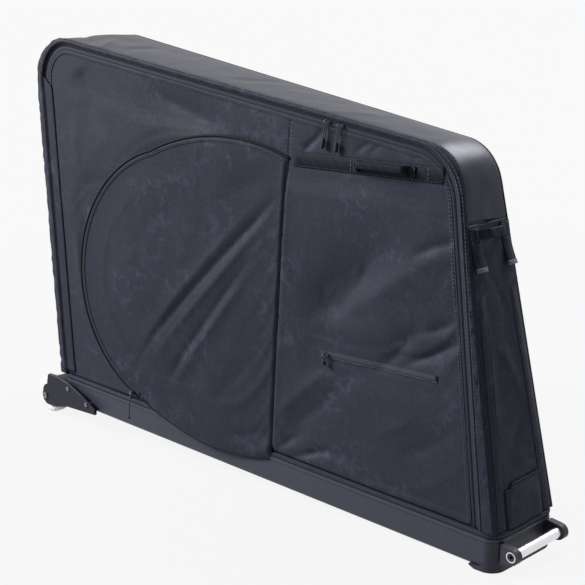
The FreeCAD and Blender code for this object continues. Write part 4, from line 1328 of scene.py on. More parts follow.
class CASE_OT_panel(bpy.types.Operator):
    """Opening side: padded panel inside the main zip, and the border outside it"""
    bl_idname = "case.panel"
    bl_label = "Opening Side"

    def execute(self, context):
        self.panel()
        self.border()
        self.rear_flap()
        return {"FINISHED"}

    def panel(self):
        """Panel with its seam above the pocket, its slack diagonal folds and the roll along its foot."""
        s = sizes()
        low = Z_CLOTH + 0.001
        line = zip_line(PLACKET, low)
        rear_low, front_low = line[-1], line[0]
        right, top, left = outline_edges(line, 6)
        cut = next(i for i, q in enumerate(top) if q.x > SEAM_U)
        share = (SEAM_U - top[cut - 1].x) / (top[cut].x - top[cut - 1].x)
        seam_top = top[cut - 1].lerp(top[cut], share)
        seam_foot = rear_low.lerp(front_low, (SEAM_U - rear_low.x) / (front_low.x - rear_low.x))
        up, rear_steps, front_steps = 132, 122, 92
        seam_line = [seam_foot, seam_top]
        rows = patch([rear_low, seam_foot], top[:cut] + [seam_top], left, seam_line, rear_steps, up)
        front = patch([seam_foot, front_low], [seam_top] + top[cut:], seam_line, right, front_steps, up)
        welt = Vector((0.0028, 0))
        for row, more in zip(rows, front):
            row[-1:] = [row[-1] - welt, row[-1], row[-1] + welt] + more[1:]
        across = len(rows[0]) - 1
        seam_at = rear_steps + 1
        folds = [fold(one[0], one[1] * s.crease, *one[2:], place=on_side) for one in PANEL_FOLDS]
        foot = on_side(0, low).y

        def height(p, i, j):
            heights = [fold_height(p, one) for one in folds]
            ridges = s.panel_swell + 0.0030 * ruffle(p, 0.20, 3.0) + sum(h for h in heights if h > 0)
            edge = pinned(i, j, 0.38)
            seam = p.x - SEAM_U
            lift = ridges * edge * self.calm(p) + sum(h for h in heights if h < 0) * min(1.0, 1.8 * edge)
            lift *= 1 - 0.75 * self.covered(p)
            if seam > 0:
                near = max(0.0, (p.y - foot) / 0.012)
                roll = math.sqrt(1 - max(0.0, 1 - near) ** 2) * math.exp(-max(0.0, near - 1) / 3)
                lift += 0.0075 * roll * min(1.0, 0.45 + seam / 0.05, 8 * (1 - i) + 0.1)
            return lift - 0.0018 * math.exp(-(seam / 0.0024) ** 2)

        obj = sheet_mesh("side_cloth", rows, SIDE, height, "cloth")
        width = across + 1
        pins = border_indices(across, up) + [j * width + seam_at for j in range(1, up)]
        for j in range(1, up):
            for i in range(1, across):
                p = rows[j][i]
                if self.calm(p) < 0.12 or self.covered(p) > 0.6 or abs(p.x - SEAM_U) < 0.010:
                    pins.append(j * width + i)
        simulate(obj, pins, 0.15)
        thicken(obj, WALL_T)
        ride(obj, "side_panel", "woven_cloth", "side_panel")
        surface = surface_of(obj)
        low_end, high_end = on_side(SEAM_X, SEAM_TOP).y + 0.004, rows[-1][seam_at].y - 0.012
        seam = straight((SEAM_U, low_end), (SEAM_U, high_end), 20)
        thread = [sewn(SIDE, [q + Vector((shift, 0)) for q in seam], surface, 0.0)
                  for shift in (-0.0055, 0.0055)]
        ride(joined("side_seam_stitches", thread), "side_panel", "woven_cloth")
        hem_t = 0.0011
        line = spaced(zip_line(PLACKET + 0.0042, low + 0.003), ZIP_STEPS)
        hem = strap("placket", SIDE, line, (-0.0046, 0.0046), surface, hem_t, "cloth")
        thread = [sewn(SIDE, spaced(zip_line(PLACKET + inset, low + 0.004), ZIP_STEPS), surface, hem_t)
                  for inset in (0.0016, 0.0066)]
        ride(joined("panel_placket", [hem] + thread), "side_panel", "woven_cloth")

    def calm(self, p):
        """Near zero where something is sewn on and holds the cloth flat, one well away from it."""
        pulls = on_side((SLIDER_A_X + SLIDER_B_X) / 2, 0.74)
        guard = on_side(POCKET_X, POCKET_Z)
        front_top, rear_top = zip_corners(0.040)[2:]
        corner = Vector((0.05, 0))
        off = min(self.beside(p, on_side(*STRAP_START), on_side(*STRAP_END)) - 0.016,
                  self.beside(p, on_side(*SMALL_ZIP_START), on_side(*SMALL_ZIP_END)) - 0.009,
                  self.beside(p, rear_top + corner, front_top - corner) - 0.030,
                  (p - pulls).length - 0.045, (p - guard).length - 0.075, (p - on_side(*BUCKLE)).length - 0.055)
        return eased(off / 0.055)

    def covered(self, p):
        """One behind the wheel pocket, zero well outside it."""
        centre = on_side(POCKET_X, POCKET_Z)
        if p.x > SEAM_U:
            return 0.0
        off = math.hypot(max(0.0, centre.x - p.x), p.y - centre.y)
        return eased((POCKET_R + 0.055 - off) / 0.05)

    def beside(self, p, a, b):
        """Distance of a point from the stretch between two others."""
        t = clamped((p - a).dot(b - a) / (b - a).length_squared)
        return (p - a.lerp(b, t)).length

    def border(self):
        """Cloth between the case edge and the zip, folded along the zip, with its rows of stitches."""
        outer = [on_side(p.x, p.y) for p in spaced(case_line(0.0005), 420)]
        inner = spaced(zip_line(-BORDER_HEM), 420)
        rows = [[a.lerp(b, k / 9) for a, b in zip(outer, inner)] for k in range(10)]

        def height(p, i, j):
            swell = 0.0016 * math.sin(math.pi * min(1, j * 1.02)) ** 0.7
            gathers = 0.0034 * ruffle(p, 0.016, 11.0) * math.exp(-((j - 0.20) / 0.18) ** 2)
            return swell + gathers + 0.0010 * ruffle(p, 0.05, 4.0) * pinned(0.5, j)

        obj = sheet_mesh("border_cloth", rows, SIDE, height, "cloth")
        obj.data.flip_normals()
        thicken(obj, BORDER_T)
        ride(obj, "case", "woven_cloth", "zip_border")
        surface = surface_of(obj)
        hem_t = 0.0012
        line = spaced(zip_line(-BORDER_HEM - 0.0022), ZIP_STEPS)
        hem = strap("placket", SIDE, line, (-0.0026, 0.0026), surface, hem_t, "cloth")
        thread = [sewn(SIDE, spaced(zip_line(-BORDER_HEM - out), ZIP_STEPS), surface, up)
                  for out, up in ((0.0024, hem_t), (0.008, 0))]
        ride(joined("border_placket", [hem] + thread), "case", "woven_cloth")

    def rear_flap(self):
        """Flap of the border that covers the zip along the rear, sewn along its outer edge."""
        under = [surface_of(bpy.data.objects[name]) for name in
                 ("side_cloth", "panel_placket", "border_cloth", "border_placket")]
        outer, inner = (spaced(zip_line(inset), ZIP_STEPS)[FLAP_FROM:-1] for inset in FLAP_EDGES)
        rows = [[a.lerp(b, k / FLAP_ROWS) for a, b in zip(outer, inner)] for k in range(FLAP_ROWS + 1)]

        def height(p, i, j):
            edge = (2 * j - 1) ** 2
            own = max(surface(SIDE, p.x, p.y) for surface in under) + 0.0003
            return max(own, FLAP_UP * (1 - edge) + own * edge)

        obj = sheet_mesh("rear_flap", rows, SIDE, height, "cloth")
        obj.data.flip_normals()
        thicken(obj, FLAP_T)
        ride(obj, "case", "woven_cloth")


class CASE_OT_pocket(bpy.types.Operator):
    """Wheel pocket: slack cloth from its seam to its round mouth, sagging over the rim, with piping"""
    bl_idname = "case.pocket"
    bl_label = "Wheel Pocket"

    def execute(self, context):
        s = sizes()
        centre = on_pocket(POCKET_X, POCKET_Z)
        seam_high, seam_low = on_pocket(SEAM_X, SEAM_TOP), on_pocket(SEAM_X, SEAM_FOOT)
        mouth = [on_circle(centre, POCKET_R, MOUTH_FOOT + (MOUTH_TOP - MOUTH_FOOT) * i / 40) for i in range(41)]
        brow = arc_through(seam_high, on_pocket(*POCKET_BROW), mouth[-1])[::-1]
        bottom = arc_through(mouth[0], on_pocket(*POCKET_SAG), seam_low)
        across, up = 120, 130
        rows = patch(bottom, brow, mouth, [seam_low, seam_high], across, up)
        folds = [fold(one[0], one[1] * s.pocket_crease, *one[2:], place=on_pocket) for one in POCKET_FOLDS]
        foot = on_side(0, Z_CLOTH).y

        def inside(p):
            """Zero along the round mouth, where the pull hangs over the cloth, one well inside it."""
            return max(eased((POCKET_R - 0.010 - (p - centre).length) / 0.160), eased((p.x - centre.x) / 0.12))

        def height(p, i, j):
            off_seam = 1 - math.exp(-(p.x / 0.0045) ** 2)
            hold = min(1.0, 4.0 * i * (1.6 - i)) ** 0.45 * (4 * j * (1 - j)) ** 0.45 * off_seam
            full = 0.06 + 0.94 * inside(p)
            lift = (s.pocket_swell * (1 - 0.55 * i) + 0.003 * ruffle(p, 0.18, 5.0)) * hold * full
            lift += sum(fold_height(p, one) for one in folds) * min(1.0, 1.6 * hold, 2.5 * full)
            edge = j * (on_pocket(0, SEAM_TOP).y - on_pocket(0, POCKET_SAG[1]).y)
            if edge < POCKET_ROLL and p.y < foot + POCKET_ROLL:
                lift -= 0.016 * (1 - math.sqrt(max(0, 1 - (1 - edge / POCKET_ROLL) ** 2)))
            over = 0.0062 * eased((foot + 0.030 - p.y) / 0.024) * math.exp(-(p.x / 0.055) ** 2)
            return lift + 0.0026 * off_seam - 0.0011 + over

        obj = sheet_mesh("pocket_cloth", rows, POCKET, height, "cloth")
        pins = border_indices(across, up)
        pins += [j * (across + 1) + i for j in range(1, up) for i in range(1, across)
                 if inside(rows[j][i]) < 0.35 or rows[j][i].x > -0.012]
        simulate(obj, pins, 0.12)
        thicken(obj, POCKET_T)
        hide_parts("wheel_pocket", "pocket_lobe")
        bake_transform(obj)
        surface = surface_of(obj)

        def edge_line(inset):
            """The mouth's edge from its foot round to the seam, moved inward."""
            line = spaced(mouth + brow[1:], MOUTH_STEPS)
            ways = [heading(line, i) for i in range(MOUTH_STEPS + 1)]
            return [q + Vector((along.y, -along.x)) * inset for q, along in zip(line, ways)]

        points = [TRAY @ POCKET @ Vector((q.x, q.y, 0.0010)) for q in edge_line(-0.0022)]
        ride(tube("mouth_piping", points, 0.0028, "piping"), "side_panel", "zip_tape", "pocket_piping")
        # Dark tube along the pocket's foot: partly piping, partly a painted shadow line where the lobe's edge
        # hangs over the tray
        line = [q + Vector((0, 0.0035)) for q in spaced(bottom, 120)]
        points = [TRAY @ POCKET @ Vector((q.x, q.y, surface(POCKET, q.x, q.y))) for q in line[2:-2]]
        piping_and_shadow_line = tube("lobe_piping", points, 0.0021, "piping")
        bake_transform(piping_and_shadow_line)
        hem = strap("hem", POCKET, edge_line(0.0058), (-0.0042, 0.0042), surface, 0.0009, "cloth")
        thread = [sewn(POCKET, edge_line(inset), surface, 0.0008) for inset in (0.0034, 0.0084)]
        ride(joined("mouth_hem", [hem] + thread), "side_panel", "woven_cloth")
        return {"FINISHED"}


class CASE_OT_zips(bpy.types.Operator):
    """Main zip in two halves and the small pocket's zip, with their coils"""
    bl_idname = "case.zips"
    bl_label = "Zips"

    def execute(self, context):
        s = sizes()
        for tag, body, outer, inner, beside in (("case", "case", -BORDER_HEM - 0.002, 0.0034, 0.0013),
                                                ("panel", "side_panel", 0.0036, PLACKET + 0.002, -0.0013)):
            a, b = spaced(zip_line(outer), 240), spaced(zip_line(inner), 240)
            rows = [[p.lerp(q, k / 2) for p, q in zip(a, b)] for k in range(3)]
            tape = sheet_mesh("tape_" + tag, rows, SIDE, lambda p, i, j: -0.0004, "tape")
            tape.data.flip_normals()
            thicken(tape, TAPE_T)
            ride(tape, body, "zip_tape", "zip_tape_" + tag)
            points, out = in_place(spaced(zip_line(ZIP_W / 2), 900), SIDE, -0.0010)
            teeth = bars("coil_" + tag, points, out, s.tooth_pitch, (0.0018, 0.0026, 0.0012), "coil", beside)
            ride(teeth, body, "zip_tape")
        place, long = side_between(SMALL_ZIP_START, SMALL_ZIP_END)
        panel = surface_of(bpy.data.objects["side_cloth"])
        line = straight((0, 0), (long, 0), 60)
        welt = strap("welt", place, line, (-0.0074, 0.0064), panel, 0.0008, "tape")
        lip_t = 0.0014
        turned = straight((0.018, 0.001), (long - 0.003, 0.001), 60)
        lip = strap("lip", place, turned, (-0.0052, 0.0054), panel, lip_t, "pale_tape")
        normal = (TRAY @ place).to_3x3() @ Vector((0, 0, 1))
        slit = -0.0058
        points = [TRAY @ place @ Vector((q.x, slit, panel(place, q.x, slit) + 0.0010)) for q in line]
        out = [normal.copy() for q in line]
        teeth = bars("small_coil", points, out, s.tooth_pitch, (0.0018, 0.0022, 0.0009), "coil")
        thread = sewn(place, straight((0.020, 0.0048), (long - 0.005, 0.0048), 60), panel, lip_t)
        ride(joined("small_zip_welt", [welt, lip, teeth, thread]), "side_panel", "zip_tape", "small_zip")
        return {"FINISHED"}


class CASE_OT_binding(bpy.types.Operator):
    """Webbing binding sewn over the tray's rim"""
    bl_idname = "case.binding"
    bl_label = "Rim Binding"

    def execute(self, context):
        h = BINDING_H
        profile = [(-TRAY_WALL, 0.0), (LIP - 0.0006, 0.0), (LIP + 0.0004, 0.15 * h), (LIP + 0.0008, 0.5 * h),
                   (LIP + 0.0002, 0.85 * h), (LIP - 0.0012, h), (-TRAY_WALL, h)]
        count = 360
        rings = [self.plan(grow, z, count) for grow, z in profile]
        points = [p for ring in rings for p in ring]
        band = mesh_of("rim_band", points, ring_faces(count, len(profile) - 1, True), "tape")
        ride(band, "case", "webbing", "rim_binding")
        outer = self.plan(LIP + 0.0007, 0.62 * h, count)
        inner = self.plan(-TRAY_WALL, 0.62 * h, count)
        out = [(a - b).normalized() for a, b in zip(outer, inner)]
        ride(stitches("rim_stitches", outer, out, "thread"), "case", "webbing")
        return {"FINISHED"}

    def plan(self, grow, up, count):
        """Closed outline round the tray at a height above the rim, grown outward."""
        rear, front = X_REAR - grow, X_FRONT + grow
        a, b = half_width(rear) + grow, half_width(front) + grow
        r = TRAY_CORNER_R + grow
        corners = [(rear, 0), (rear, -a), (front, -b), (front, b), (rear, a), (rear, 0)]
        line = spaced(rounded(corners, [r] * 4), count)[:-1]
        return [TRAY @ Vector((p.x, p.y, Z_RIM + up)) for p in line]


class CASE_OT_straps(bpy.types.Operator):
    """Carry strap and handle on the side, straps, handle, edge bands and pocket on the front"""
    bl_idname = "case.straps"
    bl_label = "Straps and Handles"

    def execute(self, context):
        self.side()
        self.front()
        return {"FINISHED"}

    def side(self):
        """Strap across the panel under the zip, with its sewn handle."""
        t = sizes().web_t
        place, long = side_between(STRAP_START, STRAP_END)
        panel = surface_of(bpy.data.objects["side_cloth"])
        line = straight((0.001, 0), (long + 0.006, 0), 60)
        band = strap("carry_strap", place, line, (-WEB_W / 2, WEB_W / 2), panel, t, "webbing")
        edge = WEB_W / 2 - 0.003
        rows = [sewn(place, straight((0.004, y), (long - 0.003, y), 60), panel, t) for y in (-edge, edge)]
        foot = HANDLE_L / 2
        for x in (HANDLE_AT - foot - 0.008, HANDLE_AT + foot + 0.027):
            rows.append(sewn(place, straight((x, -edge), (x, edge), 8), panel, t, "pale_thread"))
        thread = joined("carry_strap_stitches", rows)
        ride(band, "side_panel", "webbing", "side_strap")
        ride(thread, "side_panel", "webbing")
        at_handle = place @ Matrix.Translation((HANDLE_AT, 0, WEB_T + 0.0002))
        handle = grip("side_grip", at_handle, foot, HANDLE_OUT - 0.011, 0.010, GRIP_W - 0.003, 0.38, 0.0045,
                      "webbing")
        thread = []
        edge = GRIP_W / 2 - 0.003
        for x in (-foot + 0.006, foot - 0.006):
            thread += box_stitch(at_handle, x - 0.0045, x + 0.0045, -edge, edge, flat, 0.0022)
        ride(joined("side_grip", [handle] + thread), "side_handle", "webbing", "side_handle")

    def front(self):
        """Edge bands, low pocket, handle straps with hanging tails and the bowed handle."""
        wall = surface_of(bpy.data.objects["front_cloth"])
        t = sizes().web_t
        low, high = on_front(Z_CLOTH + 0.0005), on_front(EDGE_BAND_TOP)
        grip_v = on_front(FRONT_HANDLE_Z)
        out = front_half(FRONT_HANDLE_Z) + 0.004

        def hang(k):
            """How far a tail's loose end stands off the wall."""
            return 0.018 * max(0.0, k - 0.35) ** 2

        for tag, sign in (("near", -1), ("far", 1)):
            a, b = front_half(Z_CLOTH) - BAND_W / 2, front_half(EDGE_BAND_TOP) - BAND_W / 2
            line = straight((sign * a, low), (sign * b, high), 50)
            band = strap("corner_band_" + tag, FRONT, line, (-BAND_W / 2, BAND_W / 2), wall, 0.55 * t, "cloth",
                         lambda k: -0.0012 * max(0.0, (k - 0.8) / 0.2))
            rows = [sewn(FRONT, straight((sign * a + k, low + 0.002), (sign * b + k, high - 0.060), 50), wall,
                         0.5 * t) for k in (-BAND_W / 2 + 0.003, BAND_W / 2 - 0.003)]
            ride(joined("corner_band_" + tag, [band] + rows), "case", "webbing", "edge_band_" + tag)
            x = sign * (out - TAIL_W / 2 + TAIL_OVER[tag])
            end = grip_v - FRONT_STRAP_L
            line = straight((x, grip_v), (x, end), 24)
            edge = TAIL_W / 2
            tail = strap("handle_tail_" + tag, FRONT, line, (-edge, edge), wall, t, "front_webbing_painted_paler", hang)
            tip = straight((x, end + TAIL_CAP), (x, end - 0.001), 5)
            cap = strap("tail_tip_" + tag, FRONT, tip, (-edge - 0.0008, edge + 0.0008), wall, t + 0.0012, "tip",
                        lambda k: hang(1 - TAIL_CAP / FRONT_STRAP_L * (1 - k)) - 0.0006)
            sewn_to = grip_v - 0.03
            rows = [sewn(FRONT, straight((x + k, grip_v - 0.003), (x + k, sewn_to), 8), wall, t + 0.0001)
                    for k in (-edge + 0.003, edge - 0.003)]
            rows.append(sewn(FRONT, straight((x - 0.010, sewn_to), (x + 0.010, sewn_to), 4), wall, t))
            ride(joined("handle_tail_" + tag, [tail, cap] + rows), "case", "webbing", "front_strap_" + tag)
        place = FRONT @ Matrix.Translation((0, grip_v - FRONT_GRIP_W / 2 - 0.003, 0.0032))
        handle = grip("front_grip", place, out - 0.012, FRONT_HANDLE_OUT - 0.006, 0.010, FRONT_GRIP_W, 0.10,
                      0.0, "front_webbing_painted_paler")
        ride(handle, "front_handle", "webbing", "front_handle")
        self.front_pocket(wall, low)

    def front_pocket(self, wall, low):
        """Flat document pocket with a piped flap, its near corner stepped down."""
        half = front_half(FRONT_POCKET_Z) - BAND_W - 0.002
        flap = on_front(FRONT_POCKET_Z)
        step = flap - 0.010
        top = [Vector(p) for p in ((-half, step), (-half + 0.014, step), (-half + 0.022, flap), (half, flap))]
        left = [Vector((-half, low)), Vector((-half, step))]
        right = [Vector((half, low)), Vector((half, flap))]
        rows = patch([left[0], right[0]], top, left, right, 36, 24)

        def height(p, i, j):
            edge = min(1, 10 * min(i, 1 - i), 14 * (1 - j) + 0.35)
            return wall(FRONT, p.x, p.y) + 0.0012 + 0.0032 * edge ** 0.6 + 0.0007 * ruffle(p, 0.03, 9.0)

        cloth = sheet_mesh("document_pocket", rows, FRONT, height, "cloth")
        thicken(cloth, DOCUMENT_T)
        piping = [TRAY @ FRONT @ Vector((p.x, p.y, wall(FRONT, p.x, p.y) + 0.0034)) for p in spaced(top, 48)]
        pieces = [cloth, tube("piping", piping, 0.0016, "tape")]
        for (a, b), inset in ((left, 0.003), (right, -0.003)):
            line = straight((a.x + inset, a.y + 0.003), (b.x + inset, b.y - 0.003), 20)
            pieces.append(sewn(FRONT, line, wall, 0.0042))
        ride(joined("document_pocket", pieces), "case", "woven_cloth", "front_pocket")


class CASE_OT_far_pocket(bpy.types.Operator):
    """Second wheel pocket on the far side, zipped shut"""
    bl_idname = "case.far_pocket"
    bl_label = "Far Pocket"

    def execute(self, context):
        centre = on_side(POCKET_X, POCKET_Z)
        r = FAR_POCKET_R

        def rim(radius):
            """Round end of the pocket, from its foot to its top."""
            return [on_circle(centre, radius, 270 - 180 * i / 60) for i in range(61)]

        round_end = rim(r)
        low, high = Vector((SEAM_U, centre.y - r)), Vector((SEAM_U, centre.y + r))
        rows = patch([round_end[0], low], [round_end[-1], high], round_end, [low, high], 76, 80)
        folds = [fold(ends, depth * sizes().crease, width, place=on_side) for ends, depth, width in FAR_FOLDS]

        def height(p, i, j):
            if p.x > centre.x:
                edge = min(r - abs(p.y - centre.y), SEAM_U - p.x)
            else:
                edge = r - (p - centre).length
            t = clamped(edge / 0.075)
            uneven = 0.002 * ruffle(p, 0.15, 13.0) + sum(fold_height(p, one) for one in folds)
            return FAR_POCKET_OUT * 1.02 * (1 - (1 - t) ** 2.2) + t * uneven + 0.0012

        obj = sheet_mesh("far_pocket_cloth", rows, SIDE, height, "cloth")
        points, out = in_place(round_end, SIDE, 0.0022)
        piping = tube("far_piping", points, 0.0024, "tape")
        points, out = in_place(rim(r + 0.007), SIDE, 0.0044)
        thread = stitches("ring", points, out, "thread")
        for piece in (obj, piping, thread):
            to_far_side(piece)
        thicken(obj, FAR_POCKET_T)
        ride(obj, "case", "woven_cloth", "far_pocket")
        ride(joined("far_pocket_piping", [piping, thread]), "case", "zip_tape")
        return {"FINISHED"}


class CASE_OT_pulls(bpy.types.Operator):
    """Cord pulls of the zips, with their moulded tips and knots"""
    bl_idname = "case.pulls"
    bl_label = "Zip Pulls"

    def execute(self, context):
        front_top, rear_top = zip_corners(ZIP_W / 2)[2:]
        rise, run = front_top.y - rear_top.y, front_top.x - rear_top.x
        for tag, x in (("a", SLIDER_A_X), ("b", SLIDER_B_X)):
            u = on_side(x, 0).x
            v = rear_top.y + rise * (u - rear_top.x) / run
            place = side_at(u, v, SLIDER_SEAT, math.atan2(rise, run))
            self.loop("pull_cord_" + tag, place, PULL_DROP, "zip_pull_" + tag, (0.019, 0.0070, 0.0085),
                      "zip_cord_" + tag, "zip_tip_" + tag)
        place = side_between(SMALL_ZIP_START, SMALL_ZIP_END)[0] @ Matrix.Translation((SMALL_SLIDER_AT, 0, 0.0015))
        self.loop("small_pull_cord", place, SMALL_DROP, "small_pull", (0.007, 0.0062, 0.0085), "small_cord")
        self.pocket_cord()
        return {"FINISHED"}

    def loop(self, name, place, drop, body, tip_size, cord_node, *tip_nodes):
        """Cord looped through the slider's bar, both ends held in a moulded tip."""
        lo, hi = BAR_UP - LOOP_R, BAR_UP + LOOP_R
        route = [(0, -drop - 0.001, lo), (0, -drop * 0.2, lo - 0.0002), (0, LOOP_R, lo - 0.0004),
                 (0, LOOP_R, hi + 0.0004), (0, -drop * 0.2, hi + 0.0002), (0, -drop - 0.001, hi)]
        obj = cord_curve(name, route, place, PULL_R, "cord")
        tip = moulded_tip(name + "_tip", place, (0, -drop + 0.001, BAR_UP), tip_size, "rubber")
        ride(obj, body, "pull_cord", cord_node)
        ride(tip, body, "pull_rubber", *tip_nodes)
        TRAY @ place @ Vector(route[0])

    def pocket_cord(self):
        """Cord tied round the pocket slider's stud, hanging to a knotted end."""
        at = on_circle(on_pocket(POCKET_X, POCKET_Z), POCKET_R + 0.0026, SLIDER_ANGLE)
        place = POCKET @ Matrix.Translation((at.x, at.y, 0.0015 + 0.0025 + SLIDER_SEAT + 0.0002))
        up = RING_UP
        route = [(-0.0019, -RING_R - 0.004, up), (-0.0046, -0.001, up), (-0.0042, 0.0046, up),
                 (0.0042, 0.0046, up), (0.0046, -0.001, up), (0.0012, -RING_R - 0.004, up),
                 (0, -RING_R - 0.012, up), (-0.005, -RING_R - 0.024, up), (-0.005, -RING_R - 0.056, up)]
        guide = cord_curve("guide", route, place, 0, "cord")
        line = bpy.data.meshes.new_from_object(guide)
        path = [v.co.copy() for v in line.vertices]
        bpy.data.meshes.remove(line)
        bpy.data.objects.remove(guide)
        obj = tube("pocket_pull_cord", path, CORD_R, "cord")
        along, wire = (0, 1, 0), 0.0011
        knot = wound("pocket_pull_knot", place, (-0.0002, -RING_R - 0.006, up), along, 0.0030, wire, 2.6, "cord")
        end = wound("pocket_pull_end", place, (-0.005, -RING_R - 0.055, up), along, 0.0019, wire, 2.2, "cord")
        ride(obj, "pocket_pull", "pull_cord", "pocket_cord")
        ride(knot, "pocket_pull", "pull_cord")
        ride(end, "pocket_pull", "pull_cord")
        for piece in (obj, end):
            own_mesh(piece)


class CASE_OT_inside(bpy.types.Operator):
    """Padded block for the bike frame, its straps and the wheel strap"""
    bl_idname = "case.inside"
    bl_label = "Inside"

    def execute(self, context):
        self.cradle()
        self.cradle_straps()
        self.wheel_strap()
        return {"FINISHED"}

    def profile(self, grow):
        """Section of the block, closed: flat under, a groove along the top."""
        c = CRADLE_W / 2 + grow
        top = BOARD_TOP + CRADLE_H + grow
        groove = top - 0.022
        middle = Vector((0, BOARD_TOP))
        half = [(c, BOARD_TOP), (c, top), (0.024, top), (0.014, groove)]
        corners = [middle] + [Vector(p) for p in half] + [Vector((-y, z)) for y, z in half[::-1]] + [middle]
        return spaced(rounded(corners, [0.004, 0.012, 0.005, 0.008, 0.008, 0.005, 0.012, 0.004], 6), 96)[:-1]

    def cradle(self):
        """Foam block in a sewn cover with rounded ends and piped end seams."""
        steps = 44
        points = []
        ring = len(self.profile(0))
        middle = Vector((0, BOARD_TOP + CRADLE_H * 0.45))
        for j in range(steps + 1):
            t = j / steps
            x = CRADLE_X + CRADLE_L * (t - 0.5) * 0.995
            end = min(t, 1 - t) * CRADLE_L
            shrink = 1 - 0.10 * max(0.0, 1 - end / 0.012) ** 2
            swell = 0.0012 * math.sin(math.pi * min(1, end / 0.05) / 2) - 0.0012
            for k, p in enumerate(self.profile(swell)):
                q = middle + (p - middle) * shrink
                q.y = max(q.y, BOARD_TOP + 0.0003)
                q += (p - middle).normalized() * 0.0006 * ruffle(Vector((x, k * 0.01)), 0.05, 17.0)
                points.append(TRAY @ Vector((x, q.x, max(q.y, BOARD_TOP + 0.0003))))
        block = mesh_of("block_cover", points, ring_faces(ring, steps), "cloth")
        pieces = [block]
        for x in (CRADLE_X - CRADLE_L / 2 + 0.013, CRADLE_X + CRADLE_L / 2 - 0.013):
            line = [TRAY @ Vector((x, p.x, max(p.y, BOARD_TOP + 0.0022))) for p in self.profile(0.0004)]
            pieces.append(tube("end_piping", line, 0.0018, "tape", 6, True))
        cover = joined("block_cover", pieces)
        ride(cover, "case", "foam", "frame_cradle")

    def cradle_straps(self):
        """Two webbing straps over the block."""
        c = CRADLE_W / 2 + 0.0012
        top = BOARD_TOP + CRADLE_H + 0.0012
        pieces = []
        for x in (CRADLE_X + 0.130, CRADLE_X - 0.130):
            foot = BOARD_TOP + 0.0005
            corners = [(-c, foot), (-c, top), (-0.022, top), (0.022, top), (c, top), (c, foot)]
            line = spaced(rounded(corners, [0.010, 0.004, 0.004, 0.010]), 60)
            across = axes(Vector((0, 1, 0)), Vector((1, 0, 0)), Vector((0, 0, 1)), Vector((x, 0, 0)))
            pieces.append(ribbon("block_strap", line[::-1], (-0.012, 0.012), "webbing", -0.0016, across))
        ride(joined("block_straps", pieces), "case", "webbing", "cradle_straps")

    def wheel_strap(self):
        """Strap with its buckle in the wheel pocket."""
        at = on_side(*HOLD_STRAP)
        place = side_at(at.x, at.y, 0)
        t = sizes().web_t
        panel = surface_of(bpy.data.objects["side_cloth"])
        line = straight((-0.034, 0), (0.060, 0), 20)
        band = strap("hold_strap", place, line, (-0.010, 0.010), panel, t, "webbing")
        rows = [sewn(place, straight((-0.031, y), (-0.024, y), 3), panel, t) for y in (-0.006, 0.0, 0.006)]
        ride(joined("hold_strap", [band] + rows), "side_panel", "webbing", "wheel_strap")


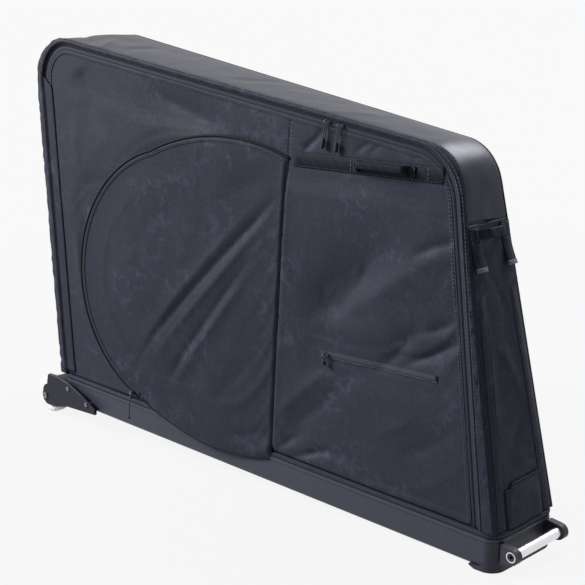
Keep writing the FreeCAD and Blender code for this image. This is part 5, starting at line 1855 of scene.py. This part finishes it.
class CASE_OT_stage(bpy.types.Operator):
    """Studio floor, soft lamps and the camera"""
    bl_idname = "case.stage"
    bl_label = "Stage"

    def execute(self, context):
        scene = context.scene
        scene.view_settings.view_transform = "Standard"
        self.floor()
        self.lamps(scene)
        self.camera(scene)
        return {"FINISHED"}

    def floor(self):
        """Wide sheet of background paper."""
        far = FLOOR_HALF
        corners = [(-far, -far, 0), (far, -far, 0), (far, far, 0), (-far, far, 0)]
        mesh_of("floor", corners, [(0, 1, 2, 3)], "paper", False)

    def lamps(self, scene):
        """Dim sky that looks pale, a large soft key lamp and a small one overhead."""
        world = bpy.data.worlds.new("Studio")
        scene.world = world
        world.use_nodes = True
        tree = world.node_tree
        tree.nodes.clear()
        soft = add(tree, "ShaderNodeBackground", {"Color": linear("#dfe5f5"), "Strength": 0.09})
        white = add(tree, "ShaderNodeBackground", {"Color": linear("#f8f8f8"), "Strength": 1.0})
        mix = add(tree, "ShaderNodeMixShader", {"Fac": seen_directly(tree), 1: soft.outputs[0],
                                                2: white.outputs[0]})
        add(tree, "ShaderNodeOutputWorld", {"Surface": mix.outputs[0]})
        for name, place, aim, size, watts in (
                ("key", (-5.0, -3.9, 4.1), (0, 0, 0.4), 2.9, 930),
                ("overhead", (0.55, 1.6, 2.6), (0.4, 0, 0.7), 1.5, 90)):
            lamp = bpy.data.lights.new(name, "AREA")
            lamp.shape = "DISK"
            lamp.size = size
            lamp.energy = watts
            obj = new_object(name, lamp)
            obj.location = place
            obj.rotation_euler = (Vector(aim) - Vector(place)).to_track_quat("-Z", "Y").to_euler()

    def camera(self, scene):
        """Camera at the viewing angle, from its eye, right and backward directions."""
        lens = bpy.data.cameras.new("view")
        lens.sensor_width = 36
        lens.lens = CAMERA_LENS
        lens.clip_end = 50
        obj = new_object("view", lens)
        right = Vector(CAMERA_RIGHT).normalized()
        back = Vector(CAMERA_BACK).normalized()
        up = back.cross(right)
        obj.matrix_world = axes(right, up, back, Vector(CAMERA_EYE))
        scene.camera = obj


class CASE_PT_sidebar(bpy.types.Panel):
    """Lists the pieces of the case and their settings"""
    bl_label = "Bike Travel Case"
    bl_idname = "CASE_PT_sidebar"
    bl_space_type = "VIEW_3D"
    bl_region_type = "UI"
    bl_category = "Case"

    def draw(self, context):
        for step in STEPS:
            self.layout.operator(step.bl_idname)
        for group in (context.scene.case_sizes, context.scene.case_colours):
            column = self.layout.column()
            for name in group.__annotations__:
                column.prop(group, name)


STEPS = (CASE_OT_stage, CASE_OT_mouldings, CASE_OT_shell, CASE_OT_binding, CASE_OT_panel, CASE_OT_pocket,
         CASE_OT_far_pocket, CASE_OT_zips, CASE_OT_pulls, CASE_OT_straps, CASE_OT_inside)
CLASSES = (CaseColours, CaseSizes) + STEPS + (CASE_PT_sidebar,)


def register():
    for cls in CLASSES:
        bpy.utils.register_class(cls)
    bpy.types.Scene.case_colours = bpy.props.PointerProperty(type=CaseColours)
    bpy.types.Scene.case_sizes = bpy.props.PointerProperty(type=CaseSizes)


def unregister():
    del bpy.types.Scene.case_sizes
    del bpy.types.Scene.case_colours
    for cls in reversed(CLASSES):
        bpy.utils.unregister_class(cls)


def main():
    register()
    for step in STEPS:
        getattr(bpy.ops.case, step.bl_idname.split(".")[1])()


if __name__ == "__main__":
    main()
